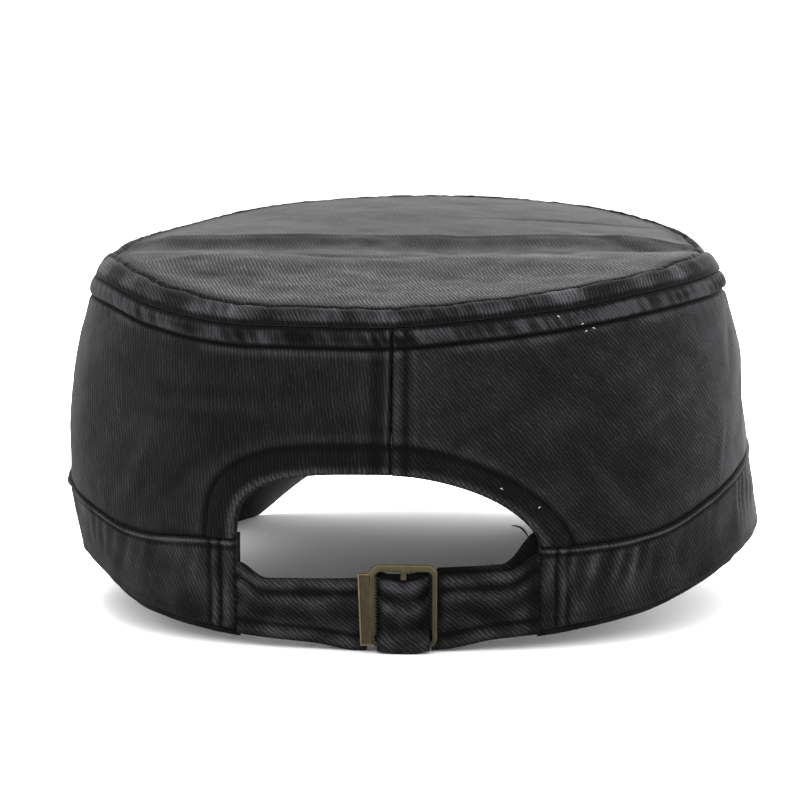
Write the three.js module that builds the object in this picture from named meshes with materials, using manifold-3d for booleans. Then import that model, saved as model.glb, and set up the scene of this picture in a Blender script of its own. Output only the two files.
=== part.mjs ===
// A patrol cap of washed cotton twill, lying on a table as it rests by itself.
//
// Lengths are in millimetres. +Z is up, +Y runs to the peak, and the strap with its
// buckle is at the back, at -Y. The table is at z = 0. The cap stands on the strap and
// on the two drooping sides of the peak, so its rim rises from the back to the front.
//
// Angles go round the head: 0 is the middle of the back, 90 the right side (+X),
// 180 the front and -90 the left side.

import * as THREE from 'three';
import { mergeVertices } from 'three/addons/utils/BufferGeometryUtils.js';
import Module from 'manifold-3d';

const wasm = await Module();
wasm.setup();

// Driving sizes of the sewn body

const GAP = 0.3;
const HEAD_WIDTH = 197;
const HEAD_DEPTH = 184;
const HEAD_SQUARENESS = 2.2;
const TOP_WIDTH = 179;
const TOP_DEPTH = 168;
const TOP_SQUARENESS = 2.35;
const BACK_HEIGHT = 83.3;
const FRONT_HEIGHT = 104.6;
const RIM_LIFT = 33;
const PANEL_THICK = 1.6;
const TOP_THICK = 1.6;
const TOP_DOME = 1.5;
const SEAM_STRIP = 5;
const TOP_RING = 5;
const RING_RISE = 3.6;
const RING_RISE_BACK = 2;
const RIM_THICK = 0.7;
const STITCH_DEPTH = 0.6;
const FELL_WIDTH = 5.4;
const FELL_RAISE = 0.5;
const FELL_EDGE = 0.8;
const FRONT_SEAM_ANGLE = 122;

// Driving sizes of the headband, the sweatband and the back opening

const BAND_WIDTH = 24;
const BAND_THICK = 2.2;
const BAND_PIPING = 0.7;
const SWEATBAND_THICK = 1.2;
const SWEATBAND_DROP = 1;
const SWEATBAND_SHOWS = 2.2;
const OPENING_WIDTH = 78;
const OPENING_SHIFT = -1.2;
const ARCH_RISE = 18;
const ARCH_SQUARENESS_LEFT = 3.3;
const ARCH_SQUARENESS_RIGHT = 1.75;
const BINDING_WIDTH = 7.2;

// Driving sizes of the strap, the buckle and the peak

const STRAP_WIDTH = 19.5;
const STRAP_SLOPE = 0.04;
const STRAP_THICK = 1.6;
const STRAP_FLAT = 0.25;
const STRAP_CURVE = 1.2;
const STRAP_FLARE = 4.2;
const FLARE_DEGREES = 6;
const TAIL_OVERHANG = 1.7;
const TAIL_CURL = 4;
const TAIL_SHORT = 1.5;
const WINDOW_BULGE = -0.3;
const WINDOW_DIP = 1.1;
const WINDOW_HORN = 1.2;
const BUCKLE_WIDTH = 17.6;
const BUCKLE_HEIGHT = 21.8;
const BUCKLE_WIRE = 1.5;
const BUCKLE_CORNER = 2.4;
const BUCKLE_SHIFT = 3.4;
const BUCKLE_FOOT = 1.2;
const BUCKLE_OUT = 0.2;
const POST_WIRE = 1.2;
const POST_LENGTH = 1.6;
const TOOTH_COUNT = 14;
const TOOTH_LENGTH = 0.5;
const CLAMP_WIDTH = 3.1;
const CLAMP_HEIGHT = 19;
const CLAMP_THICK = 1.1;
const CLAMP_RIM = 0.5;
const CLAMP_RECESS = 0.3;
const CLAMP_FOOT = 0.8;
const CLAMP_LEAN = 0.8;
const PEAK_LENGTH = 64;
const PEAK_THICK = 2.6;
const PEAK_HALF_ANGLE = 51;
const PEAK_EDGE_HEIGHT = 22;
const PEAK_SQUARENESS = 2.1;
const PEAK_CAMBER = 3;
const PEAK_DROOP_PLACE = 1.6;

// How finely the soft surfaces are divided

const COLUMN_DEGREES = 5;
const TOP_SPOKES = 60;
const ARCH_STEPS = 12;

// Round the head, a row for each place where the outline changes. rim: height of the
// rim as a share of RIM_LIFT. band: rise of the band as a share of BAND_WIDTH. edge:
// how far the crown's top edge has risen from BACK_HEIGHT to FRONT_HEIGHT. The three
// outs are shares of the plan outline's radius. belly: how far the wall stands out
// halfway up, as a share of HEAD_WIDTH.

const STATIONS = [
  { angle: -150, rim: 0.92, band: 1.0, edge: 0.88, rimOut: 1.0, bandOut: 1.0, edgeOut: 1.025, belly: 0.012 },
  { angle: -120, rim: 0.71, band: 0.97, edge: 0.57, rimOut: 0.99, bandOut: 1.0, edgeOut: 0.995, belly: 0.014 },
  { angle: -90, rim: 0.43, band: 0.95, edge: 0.455, rimOut: 0.96, bandOut: 1.0, edgeOut: 0.985, belly: 0.016 },
  { angle: -75, rim: 0.39, band: 0.92, edge: 0.415, rimOut: 0.965, bandOut: 1.0, edgeOut: 1.005, belly: 0.014 },
  { angle: -60, rim: 0.33, band: 0.86, edge: 0.375, rimOut: 0.97, bandOut: 1.0, edgeOut: 1.01, belly: 0.01 },
  { angle: -45, rim: 0.18, band: 0.89, edge: 0.152, rimOut: 1.0, bandOut: 1.0, edgeOut: 1.0, belly: 0.008 },
  { angle: -30, rim: 0.075, band: 1.07, edge: 0.012, rimOut: 1.0, bandOut: 1.0, edgeOut: 1.0, belly: 0.006 },
  { angle: -15, rim: 0.025, band: 1.13, edge: 0, rimOut: 1.0, bandOut: 1.0, edgeOut: 1.0, belly: 0.006 },
  { angle: 0, rim: 0, band: 1.16, edge: 0, rimOut: 1.0, bandOut: 1.0, edgeOut: 1.0, belly: 0.006 },
  { angle: 15, rim: 0.05, band: 1.09, edge: 0.094, rimOut: 1.0, bandOut: 1.0, edgeOut: 1.0, belly: 0.006 },
  { angle: 30, rim: 0.12, band: 0.96, edge: 0.21, rimOut: 1.0, bandOut: 1.0, edgeOut: 1.0, belly: 0.006 },
  { angle: 45, rim: 0.23, band: 0.9, edge: 0.362, rimOut: 1.005, bandOut: 1.0, edgeOut: 1.0, belly: 0.006 },
  { angle: 60, rim: 0.41, band: 0.94, edge: 0.468, rimOut: 1.01, bandOut: 0.99, edgeOut: 1.0, belly: 0.006 },
  { angle: 75, rim: 0.51, band: 1.03, edge: 0.51, rimOut: 1.005, bandOut: 0.98, edgeOut: 0.99, belly: 0.01 },
  { angle: 90, rim: 0.58, band: 1.04, edge: 0.44, rimOut: 1.01, bandOut: 0.975, edgeOut: 0.96, belly: 0.013 },
  { angle: 120, rim: 0.77, band: 1.0, edge: 0.65, rimOut: 1.0, bandOut: 0.98, edgeOut: 0.965, belly: 0.01 },
  { angle: 150, rim: 0.94, band: 1.0, edge: 0.9, rimOut: 1.0, bandOut: 1.0, edgeOut: 1.01, belly: 0.012 },
  { angle: 180, rim: 1, band: 1.0, edge: 1, rimOut: 1.0, bandOut: 1.0, edgeOut: 1.02, belly: 0.012 },
];

// Dents and swellings of the soft wall, a row for each. up is 0 at the band's seam and
// 1 at the top edge. wide is in degrees, tall in shares of the wall's height and out,
// which is negative for a dent, in shares of HEAD_WIDTH.

const WALL_FOLDS = [
  { angle: -104, up: 0.3, wide: 11, tall: 0.3, out: 0.014 },
  { angle: -84, up: 0.12, wide: 9, tall: 0.2, out: -0.006 },
  { angle: -62, up: 0.42, wide: 8, tall: 0.5, out: 0.006 },
  { angle: -47, up: 0.38, wide: 7, tall: 0.3, out: -0.008 },
  { angle: -22, up: 0.5, wide: 9, tall: 0.2, out: -0.005 },
  { angle: 34, up: 0.28, wide: 12, tall: 0.22, out: -0.008 },
  { angle: 62, up: 0.6, wide: 9, tall: 0.4, out: 0.005 },
  { angle: 84, up: 0.3, wide: 10, tall: 0.2, out: -0.007 },
  { angle: 112, up: 0.5, wide: 14, tall: 0.4, out: 0.006 },
  { angle: 150, up: 0.45, wide: 14, tall: 0.3, out: -0.006 },
  { angle: -146, up: 0.5, wide: 12, tall: 0.35, out: -0.005 },
];

// Creases of the top panel, a row for each, running across it from left to right.
// along is where it lies from back to front as a share of half TOP_DEPTH, bend how far
// its right end turns back, wide its width and high its height, as shares of TOP_DEPTH.

const TOP_CREASES = [
  { along: 0.05, bend: 0.0, wide: 0.045, high: 0.008 },
  { along: -0.06, bend: 0.04, wide: 0.06, high: -0.009 },
  { along: -0.34, bend: 0.1, wide: 0.06, high: 0.005 },
  { along: -0.56, bend: 0.05, wide: 0.05, high: -0.004 },
];

// Helpers

const RADIANS = Math.PI / 180;
const lerp = (a, b, t) => a + (b - a) * t;
const clamp = (x, low, high) => Math.min(high, Math.max(low, x));
const smooth = (x, from, to) => {
  const t = clamp((x - from) / (to - from), 0, 1);
  return t * t * (3 - 2 * t);
};
const bell = (x, wide) => Math.exp(-((x / wide) ** 2));
const wrapAngle = (angle) => ((((angle + 180) % 360) + 360) % 360) - 180;
const steps = (from, to, count) =>
  Array.from({ length: count + 1 }, (_, i) => lerp(from, to, i / count));

// The value of one column of a table at any angle: a smooth cubic through its rows,
// closed round the head.
function columnAt(table, column, angle) {
  const last = table.length;
  const at = (i) => {
    const turn = Math.floor(i / last);
    const row = table[i - turn * last];
    return { x: row.angle + 360 * turn, y: row[column] };
  };
  let x = wrapAngle(angle);
  if (x < table[0].angle) x += 360;
  let i = 0;
  while (at(i + 1).x <= x) i += 1;
  const [p, q, r, s] = [at(i - 1), at(i), at(i + 1), at(i + 2)];
  const h = r.x - q.x;
  const t = (x - q.x) / h;
  const slopeQ = ((r.y - p.y) / (r.x - p.x)) * h;
  const slopeR = ((s.y - q.y) / (s.x - q.x)) * h;
  return (2 * t ** 3 - 3 * t ** 2 + 1) * q.y + (t ** 3 - 2 * t ** 2 + t) * slopeQ
    + (3 * t ** 2 - 2 * t ** 3) * r.y + (t ** 3 - t ** 2) * slopeR;
}

// Radius of an oval between an ellipse and a rectangle, at an angle from the back.
function ovalRadius(width, depth, squareness, angle) {
  const across = Math.abs(Math.sin(angle * RADIANS)) / (width / 2);
  const along = Math.abs(Math.cos(angle * RADIANS)) / (depth / 2);
  return (across ** squareness + along ** squareness) ** (-1 / squareness);
}

const polar = (angle, radius, z) =>
  new THREE.Vector3(radius * Math.sin(angle * RADIANS), -radius * Math.cos(angle * RADIANS), z);

const station = (column, angle) => columnAt(STATIONS, column, angle);
const headRadius = (angle) => ovalRadius(HEAD_WIDTH, HEAD_DEPTH, HEAD_SQUARENESS, angle);
const topRadius = (angle) =>
  ovalRadius(TOP_WIDTH, TOP_DEPTH, TOP_SQUARENESS, angle) * station('edgeOut', angle);
const rimHeight = (angle) => RIM_LIFT * Math.max(0, station('rim', angle));
const seamHeight = (angle) => rimHeight(angle) + BAND_WIDTH * station('band', angle);
const edgeHeight = (angle) => lerp(BACK_HEIGHT, FRONT_HEIGHT, station('edge', angle));
const wallHeight = (angle) => edgeHeight(angle) - seamHeight(angle);

// Sum of the dents and swellings at a place on the wall.
function wallFold(angle, up) {
  let out = 0;
  for (const fold of WALL_FOLDS) {
    const round = wrapAngle(angle - fold.angle);
    out += fold.out * HEAD_WIDTH * bell(round, fold.wide) * bell(up - fold.up, fold.tall);
  }
  return out * clamp((1 - up) * 6, 0, 1) * clamp(up * 8 + 0.4, 0, 1);
}

// The outer face of the crown's wall: up is 0 at the band's seam and 1 at the top edge.
// The strip below the top edge is padded between two rows of stitches.
function wallPoint(angle, up) {
  const below = (1 - up) * wallHeight(angle);
  const strip = below < SEAM_STRIP ? Math.sin((below / SEAM_STRIP) * Math.PI) : 0;
  const ditch = bell(below - SEAM_STRIP, 0.8);
  const radius = lerp(headRadius(angle) * station('bandOut', angle), topRadius(angle), up)
    + station('belly', angle) * HEAD_WIDTH * Math.sin(Math.PI * up)
    + wallFold(angle, up) + STITCH_DEPTH * (strip - ditch);
  return polar(angle, radius, lerp(seamHeight(angle), edgeHeight(angle), up));
}

// The outer face of the headband: up is 0 at its lower edge and 1 at its seam, which
// stands out as a soft piping.
function bandPoint(angle, up) {
  const rim = headRadius(angle) * station('rimOut', angle);
  const seam = headRadius(angle) * station('bandOut', angle);
  const low = rimHeight(angle) + SWEATBAND_SHOWS;
  const piping = BAND_PIPING * bell((1 - up) * BAND_WIDTH - 1.6, 1.6);
  const radius = lerp(rim, seam, up) + piping;
  return polar(angle, radius, lerp(low, seamHeight(angle) - GAP, up));
}

// Solids from grids

// A closed body between an outer and an inner grid of points, both given as columns.
// round joins the last column to the first.
function slab(outer, inner, round = false) {
  const columns = outer.length;
  const rows = outer[0].length;
  const points = [...outer.flat(), ...inner.flat()];
  const shift = columns * rows;
  const at = (i, j) => (i % columns) * rows + j;
  const faces = [];
  const quad = (a, b, c, d) => faces.push(a, b, c, a, c, d);
  const spans = round ? columns : columns - 1;
  for (let i = 0; i < spans; i += 1) {
    for (let j = 0; j < rows - 1; j += 1) {
      quad(at(i, j), at(i + 1, j), at(i + 1, j + 1), at(i, j + 1));
      quad(at(i, j) + shift, at(i, j + 1) + shift, at(i + 1, j + 1) + shift, at(i + 1, j) + shift);
    }
    quad(at(i, 0), at(i, 0) + shift, at(i + 1, 0) + shift, at(i + 1, 0));
    const top = rows - 1;
    quad(at(i, top), at(i + 1, top), at(i + 1, top) + shift, at(i, top) + shift);
  }
  if (!round) {
    const end = columns - 1;
    for (let j = 0; j < rows - 1; j += 1) {
      quad(at(0, j), at(0, j + 1), at(0, j + 1) + shift, at(0, j) + shift);
      quad(at(end, j), at(end, j) + shift, at(end, j + 1) + shift, at(end, j + 1));
    }
  }
  return meshGeometry(points, faces);
}

// A closed body from rings of points carried along a path, with flat ends.
function sweep(rings) {
  const count = rings[0].length;
  const points = rings.flat();
  const faces = [];
  for (let i = 0; i < rings.length - 1; i += 1) {
    for (let j = 0; j < count; j += 1) {
      const k = (j + 1) % count;
      const a = i * count;
      const b = a + count;
      faces.push(a + j, a + k, b + k, a + j, b + k, b + j);
    }
  }
  const end = (rings.length - 1) * count;
  for (let j = 1; j < count - 1; j += 1) {
    faces.push(0, j + 1, j);
    faces.push(end, end + j, end + j + 1);
  }
  return meshGeometry(points, faces);
}

// Welds the points and turns the faces outwards if the body came out inside out.
function meshGeometry(points, faces) {
  const raw = new THREE.BufferGeometry();
  raw.setAttribute('position', new THREE.Float32BufferAttribute(points.flatMap((p) => p.toArray()), 3));
  raw.setIndex(faces);
  const geometry = mergeVertices(raw, 1e-3);
  const kept = [];
  const index = geometry.getIndex().array;
  for (let i = 0; i < index.length; i += 3) {
    const [a, b, c] = [index[i], index[i + 1], index[i + 2]];
    if (a !== b && b !== c && c !== a) kept.push(a, b, c);
  }
  geometry.setIndex(kept);
  if (signedVolume(geometry) < 0) {
    for (let i = 0; i < kept.length; i += 3) [kept[i + 1], kept[i + 2]] = [kept[i + 2], kept[i + 1]];
    geometry.setIndex(kept);
  }
  return geometry;
}

function signedVolume(geometry) {
  const position = geometry.getAttribute('position');
  const index = geometry.getIndex().array;
  const corner = (i) => new THREE.Vector3().fromBufferAttribute(position, index[i]);
  let volume = 0;
  for (let i = 0; i < index.length; i += 3) {
    volume += corner(i).dot(corner(i + 1).cross(corner(i + 2))) / 6;
  }
  return volume;
}

// The point that lies a given depth inside a surface, square to it.
function inset(surface, u, v, depth, stepU, stepV) {
  const here = surface(u, v);
  const alongU = surface(u + stepU, v).sub(surface(u - stepU, v));
  const alongV = surface(u, v + stepV).sub(surface(u, v - stepV));
  return here.sub(alongU.cross(alongV).normalize().multiplyScalar(depth));
}

const wallInside = (angle, up, depth = PANEL_THICK) =>
  inset(wallPoint, angle, clamp(up, 0.01, 0.99), depth, 0.5, 0.01)
    .setZ(wallPoint(angle, up).z);

// Booleans

function toManifold(geometry) {
  const mesh = new wasm.Mesh({
    numProp: 3,
    vertProperties: new Float32Array(geometry.getAttribute('position').array),
    triVerts: new Uint32Array(geometry.getIndex().array),
  });
  return new wasm.Manifold(mesh);
}

function fromManifold(solid) {
  const mesh = solid.getMesh();
  const geometry = new THREE.BufferGeometry();
  const position = new Float32Array(mesh.vertProperties);
  geometry.setAttribute('position', new THREE.BufferAttribute(position, 3));
  geometry.setIndex(new THREE.BufferAttribute(new Uint32Array(mesh.triVerts), 1));
  return geometry;
}

// Strips the normals and uvs of a three.js shape and welds it, ready for a boolean.
function weld(geometry) {
  const copy = geometry.clone();
  copy.deleteAttribute('normal');
  copy.deleteAttribute('uv');
  return mergeVertices(copy, 1e-4);
}

// The back opening

// The opening's outline on the wall, grown outwards by a margin. turn runs from 0 at
// the left foot over the top to 180 at the right foot. It gives the angle round the
// head and the height above the band's seam.
function archPoint(turn, margin) {
  const left = turn < 90;
  const square = left ? ARCH_SQUARENESS_LEFT : ARCH_SQUARENESS_RIGHT;
  const across = Math.abs(Math.cos(turn * RADIANS)) ** (2 / square) * (left ? -1 : 1);
  const rise = Math.abs(Math.sin(turn * RADIANS)) ** (2 / square);
  const x = OPENING_SHIFT + across * (OPENING_WIDTH / 2 + margin);
  const angle = Math.asin(x / headRadius(0)) / RADIANS;
  return { angle, height: rise * (ARCH_RISE + margin) };
}

const openingEnd = (side, margin) => archPoint(side < 0 ? 0 : 180, margin).angle;
const upAt = (angle, height) => height / wallHeight(angle);

// Turns along the arch at which both the binding and the panels above it are divided.
// On the right side one pair lies at the edge of the felled seam.
function archTurns(side) {
  const even = steps(90, side < 0 ? 0 : 180, ARCH_STEPS);
  if (side < 0) return even;
  const turnAt = (x) => {
    const across = (x - OPENING_SHIFT) / (OPENING_WIDTH / 2 + BINDING_WIDTH);
    return 90 + Math.asin(across ** (ARCH_SQUARENESS_RIGHT / 2)) / RADIANS;
  };
  const fell = [turnAt(FELL_WIDTH), turnAt(FELL_WIDTH + FELL_EDGE)];
  const apart = even.filter((turn) => turn < 91 || turn > fell[1] + 3);
  return [apart[0], ...fell, ...apart.slice(1)];
}

function archBinding() {
  const turns = [...archTurns(-1).reverse(), ...archTurns(1).slice(1)];
  const column = (turn, surface) => steps(0, BINDING_WIDTH - GAP, 3).map((margin) => {
    const { angle, height } = archPoint(turn, margin);
    return surface(angle, upAt(angle, height));
  });
  const outer = turns.map((turn) => column(turn, wallPoint));
  const inner = turns.map((turn) => column(turn, wallInside));
  return slab(outer, inner);
}

// The crown

// Where the wall's divisions lie below the top edge, in millimetres, so that the
// stitched strip keeps its shape.
const STRIP_ROWS = [0, 0.5, 1, 1.4];

// The outer face of a panel with the doubled, felled cloth beside the centre seam.
function felledPoint(angle, up) {
  const across = angle * RADIANS * headRadius(0);
  const raise = across > 0 ? FELL_RAISE * (1 - smooth(across, FELL_WIDTH, FELL_WIDTH + FELL_EDGE)) : 0;
  return wallPoint(angle, up).add(polar(angle, raise, 0));
}

// One wall panel, from its lower outline to the top edge. Each column joins a point of
// the lower outline to a point of the top edge.
function wallPanel(lower, topAngles, surface = wallPoint) {
  const column = (foot, topAngle, face) => {
    const wall = wallHeight(topAngle);
    const ups = [
      ...steps(foot.up, 1 - (STRIP_ROWS[3] * SEAM_STRIP) / wall, 6),
      ...STRIP_ROWS.slice(0, 3).reverse().map((row) => 1 - (row * SEAM_STRIP) / wall),
    ];
    return ups.map((up) => {
      const share = (up - foot.up) / (1 - foot.up);
      return face(lerp(foot.angle, topAngle, share), up);
    });
  };
  const outer = lower.map((foot, i) => column(foot, topAngles[i], surface));
  const inner = lower.map((foot, i) => column(foot, topAngles[i], wallInside));
  return slab(outer, inner);
}

// The lower outline of a side panel is half of the binding's arch, then the band's
// seam. The right panel carries the felled seam.
function sidePanel(side) {
  const seam = (GAP / 2 / headRadius(0)) / RADIANS;
  const foot = openingEnd(side, BINDING_WIDTH);
  const front = side * (FRONT_SEAM_ANGLE - seam);
  const arch = archTurns(side).map((turn) => {
    const { angle, height } = archPoint(turn, BINDING_WIDTH);
    return { angle, up: upAt(angle, height) };
  });
  arch[0].angle = side * seam;
  const bandAngles = steps(foot, front, Math.ceil(Math.abs(front - foot) / COLUMN_DEGREES)).slice(1);
  const lower = [...arch, ...bandAngles.map((angle) => ({ angle, up: 0 }))];
  const topAngles = lower.map(({ angle }, i) => {
    const even = lerp(arch[0].angle, front, i / (lower.length - 1));
    const spread = Math.sin(clamp((i - 3) / (arch.length - 3), 0, 1) * Math.PI);
    return lerp(angle, even, 0.3 * spread);
  });
  return wallPanel(lower, topAngles, side > 0 ? felledPoint : wallPoint);
}

function frontPanel() {
  const seam = (GAP / 2 / headRadius(0)) / RADIANS;
  const from = FRONT_SEAM_ANGLE + seam;
  const to = 360 - FRONT_SEAM_ANGLE - seam;
  const angles = steps(from, to, Math.ceil((to - from) / COLUMN_DEGREES));
  return wallPanel(angles.map((angle) => ({ angle, up: 0 })), angles);
}

// How far the stitched ring's inner side rises above the top edge: less at the back.
const ringRise = (angle) => lerp(RING_RISE, RING_RISE_BACK, bell(wrapAngle(angle), 60));

// Height of the top panel above the table at a place given by its angle and its share
// of the way from the middle to the edge. It is a tilted plane with a low dome and a
// few creases. Its outer ring slopes down to the top edge.
function topHeight(angle, share) {
  const radius = topRadius(angle) * share;
  const x = radius * Math.sin(angle * RADIANS);
  const y = -radius * Math.cos(angle * RADIANS);
  const slope = (FRONT_HEIGHT - BACK_HEIGHT) / TOP_DEPTH;
  const plane = (y2) => (BACK_HEIGHT + FRONT_HEIGHT) / 2 + slope * y2;
  const rimY = -topRadius(angle) * Math.cos(angle * RADIANS);
  const residual = edgeHeight(angle) - plane(rimY);
  let z = plane(y) + residual * share ** 3 + TOP_DOME * (1 - share ** 4);
  for (const crease of TOP_CREASES) {
    const line = crease.along * (TOP_DEPTH / 2) - crease.bend * Math.max(0, x);
    const fade = clamp((1 - share) * 5, 0, 1);
    z += crease.high * TOP_DEPTH * bell(y - line, crease.wide * TOP_DEPTH) * fade;
  }
  const inward = clamp((1 - share) * (TOP_WIDTH / 2) / TOP_RING, 0, 1);
  return z + ringRise(angle) * Math.sin((inward * Math.PI) / 2);
}

// The top panel lies on the wall's upper edge. Its rim is a sloping stitched ring, parted
// from the middle by a ditch and thinner towards the edge.
function crownTop() {
  const angles = steps(0, 360, TOP_SPOKES).slice(0, -1);
  const half = TOP_WIDTH / 2;
  const ring = STRIP_ROWS.map((row) => 1 - (row * TOP_RING) / half).reverse();
  const upperShares = [0.1, 0.2, 0.33, 0.48, 0.62, 0.74, 0.84, ...ring];
  const lowerShares = [0.3, 0.6, 0.85, ...[1, 0.5, 0].map((row) => 1 - (row * TOP_RING) / half)];
  const upperFace = (angle, share) => {
    const inward = (1 - share) * half;
    const pad = inward < TOP_RING ? Math.sin((inward / TOP_RING) * Math.PI) : 0;
    const stitch = STITCH_DEPTH * (pad - bell(inward - TOP_RING, 0.8));
    const thick = lerp(RIM_THICK, TOP_THICK, clamp(inward / (0.5 * TOP_RING), 0, 1));
    return polar(angle, topRadius(angle) * share, topHeight(angle, share) + GAP + thick + stitch);
  };
  const lowerFace = (angle, share) =>
    polar(angle, topRadius(angle) * share, topHeight(angle, share) + GAP);
  return disc(angles, [upperFace, upperShares], [lowerFace, lowerShares]);
}

// A closed disc from an upper and a lower face, each a function of the angle and the
// share of the way out, with the shares at which it is divided. The last share is 1.
function disc(angles, [upperFace, upperShares], [lowerFace, lowerShares]) {
  const columns = angles.length;
  const grid = (face, shares) => angles.flatMap((angle) => shares.map((share) => face(angle, share)));
  const points = [...grid(upperFace, upperShares), ...grid(lowerFace, lowerShares)];
  const faces = [];
  const side = (start, rows, middle, flip) => {
    const at = (i, j) => start + (i % columns) * rows + j;
    const face = (a, b, c) => faces.push(...(flip ? [a, c, b] : [a, b, c]));
    for (let i = 0; i < columns; i += 1) {
      face(middle, at(i, 0), at(i + 1, 0));
      for (let j = 0; j < rows - 1; j += 1) {
        face(at(i, j), at(i, j + 1), at(i + 1, j + 1));
        face(at(i, j), at(i + 1, j + 1), at(i + 1, j));
      }
    }
    return (i) => at(i, rows - 1);
  };
  const below = columns * upperShares.length;
  const middle = points.push(upperFace(0, 0), lowerFace(0, 0)) - 2;
  const upperRim = side(0, upperShares.length, middle, false);
  const lowerRim = side(below, lowerShares.length, middle + 1, true);
  for (let i = 0; i < columns; i += 1) {
    faces.push(upperRim(i), lowerRim(i), lowerRim(i + 1), upperRim(i), lowerRim(i + 1), upperRim(i + 1));
  }
  return meshGeometry(points, faces);
}

// The bands

// Angles from the right end of the bands round the front to the left end.
function bandAngles() {
  const from = openingEnd(1, 0);
  const to = 360 + openingEnd(-1, 0);
  return steps(from, to, Math.ceil((to - from) / COLUMN_DEGREES));
}

function headband() {
  const ups = [0, 0.3, 0.62, 0.86, 0.93, 1];
  const inside = (angle, up) => {
    const point = bandPoint(angle, up);
    const flat = Math.hypot(point.x, point.y);
    const piping = BAND_PIPING * bell((1 - up) * BAND_WIDTH - 1.6, 1.6);
    return polar(angle, flat - piping - BAND_THICK, point.z);
  };
  const angles = bandAngles();
  const outer = angles.map((angle) => ups.map((up) => bandPoint(angle, up)));
  const inner = angles.map((angle) => ups.map((up) => inside(angle, up)));
  return slab(outer, inner);
}

// The sweatband lies inside the headband and shows below it.
function sweatband() {
  const face = (angle, share, depth) => {
    const low = rimHeight(angle) + SWEATBAND_SHOWS;
    const z = lerp(rimHeight(angle), seamHeight(angle) - SWEATBAND_DROP, share);
    const up = clamp((z - low) / (seamHeight(angle) - low), 0, 1);
    const rim = headRadius(angle) * station('rimOut', angle);
    const seam = headRadius(angle) * station('bandOut', angle);
    return polar(angle, lerp(rim, seam, up) - BAND_THICK - GAP - depth, z);
  };
  const shares = [0, 0.12, 0.55, 1];
  const angles = bandAngles();
  const outer = angles.map((angle) => shares.map((share) => face(angle, share, 0)));
  const inner = angles.map((angle) => shares.map((share) => face(angle, share, SWEATBAND_THICK)));
  return slab(outer, inner);
}

// The peak

// The upper face of the peak. side runs from -1 at its left corner to 1 at its right
// corner, and out from 0 at the band to 1 at its edge. Its two sides droop until they
// lie flat on the table.
function peakPoint(side, out, thick = PEAK_THICK) {
  const angle = 180 - side * PEAK_HALF_ANGLE;
  const seat = headRadius(angle) * station('rimOut', angle) - BAND_THICK;
  const root = polar(angle, seat, rimHeight(angle) + SWEATBAND_SHOWS - GAP);
  const corner = polar(180 - PEAK_HALF_ANGLE, seat, 0);
  const reach = headRadius(180) + PEAK_LENGTH + corner.y * -1;
  const turn = side * 90 * RADIANS;
  const across = Math.sign(side) * Math.abs(Math.sin(turn)) ** (2 / PEAK_SQUARENESS);
  const ahead = Math.abs(Math.cos(turn)) ** (2 / PEAK_SQUARENESS);
  const rootWidth = Math.abs(polar(180 - PEAK_HALF_ANGLE, headRadius(180 - PEAK_HALF_ANGLE), 0).x);
  const edgeX = across * rootWidth;
  const edgeY = corner.y + ahead * reach;
  const droop = Math.sin(Math.PI * Math.abs(side) ** PEAK_DROOP_PLACE) ** 2;
  const edgeZ = lerp(lerp(PEAK_EDGE_HEIGHT, root.z, Math.abs(side) ** 4), 0, droop);
  const camber = PEAK_CAMBER * Math.sin(Math.PI * out) ** 2 * Math.cos(turn);
  const x = lerp(root.x, edgeX, out);
  const y = lerp(root.y, edgeY, out);
  const z = lerp(root.z, edgeZ, out ** 1.2) + camber;
  return new THREE.Vector3(x, y, Math.max(thick, z));
}

function peak() {
  const sides = steps(-1, 1, 32).map((side) => side * 0.995);
  const outs = steps(0, 1, 7);
  const upper = sides.map((side) => outs.map((out) => peakPoint(side, out)));
  const lower = sides.map((side) => outs.map((out) => {
    const point = peakPoint(side, out);
    return point.setZ(point.z - PEAK_THICK);
  }));
  return slab(upper, lower);
}

// The strap

const angleOf = (x) => Math.asin(x / headRadius(0)) / RADIANS;
const fromBuckle = (angle) => headRadius(0) * Math.sin(angle * RADIANS) - BUCKLE_SHIFT;
const windowHalf = BUCKLE_WIDTH / 2 - BUCKLE_WIRE;
const wireInner = BUCKLE_WIRE / 2 - BUCKLE_OUT;

// How far the outer face of the straps lies inside the band's face, behind the bars of
// the buckle.
const underBar = wireInner + GAP;

// The straps widen towards the band's ends, and rest flat on the table in the middle.
function strapFlare(angle) {
  const end = openingEnd(Math.sign(angle), 0);
  return STRAP_FLARE * smooth(Math.abs(angle), Math.abs(end) - FLARE_DEGREES, Math.abs(end)) ** 1.5;
}
function strapLow(angle) {
  const aside = Math.abs(fromBuckle(angle)) / BUCKLE_WIDTH;
  return Math.max(0, rimHeight(angle) - STRAP_FLAT + STRAP_CURVE * smooth(aside, 0.6, 1.4));
}
const strapHigh = (angle) =>
  STRAP_WIDTH + STRAP_SLOPE * headRadius(0) * Math.sin(angle * RADIANS) + strapFlare(angle);

// The upper edge in the buckle's window: it dips in the middle and stands up at the bars.
const windowHigh = (angle) => {
  const x = fromBuckle(angle);
  const horns = bell(Math.abs(x) - windowHalf, 2.5) * (1 - smooth(x, windowHalf, windowHalf + 1.5));
  return strapHigh(angle) - WINDOW_DIP * bell(x, 4) + WINDOW_HORN * horns;
};

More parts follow.
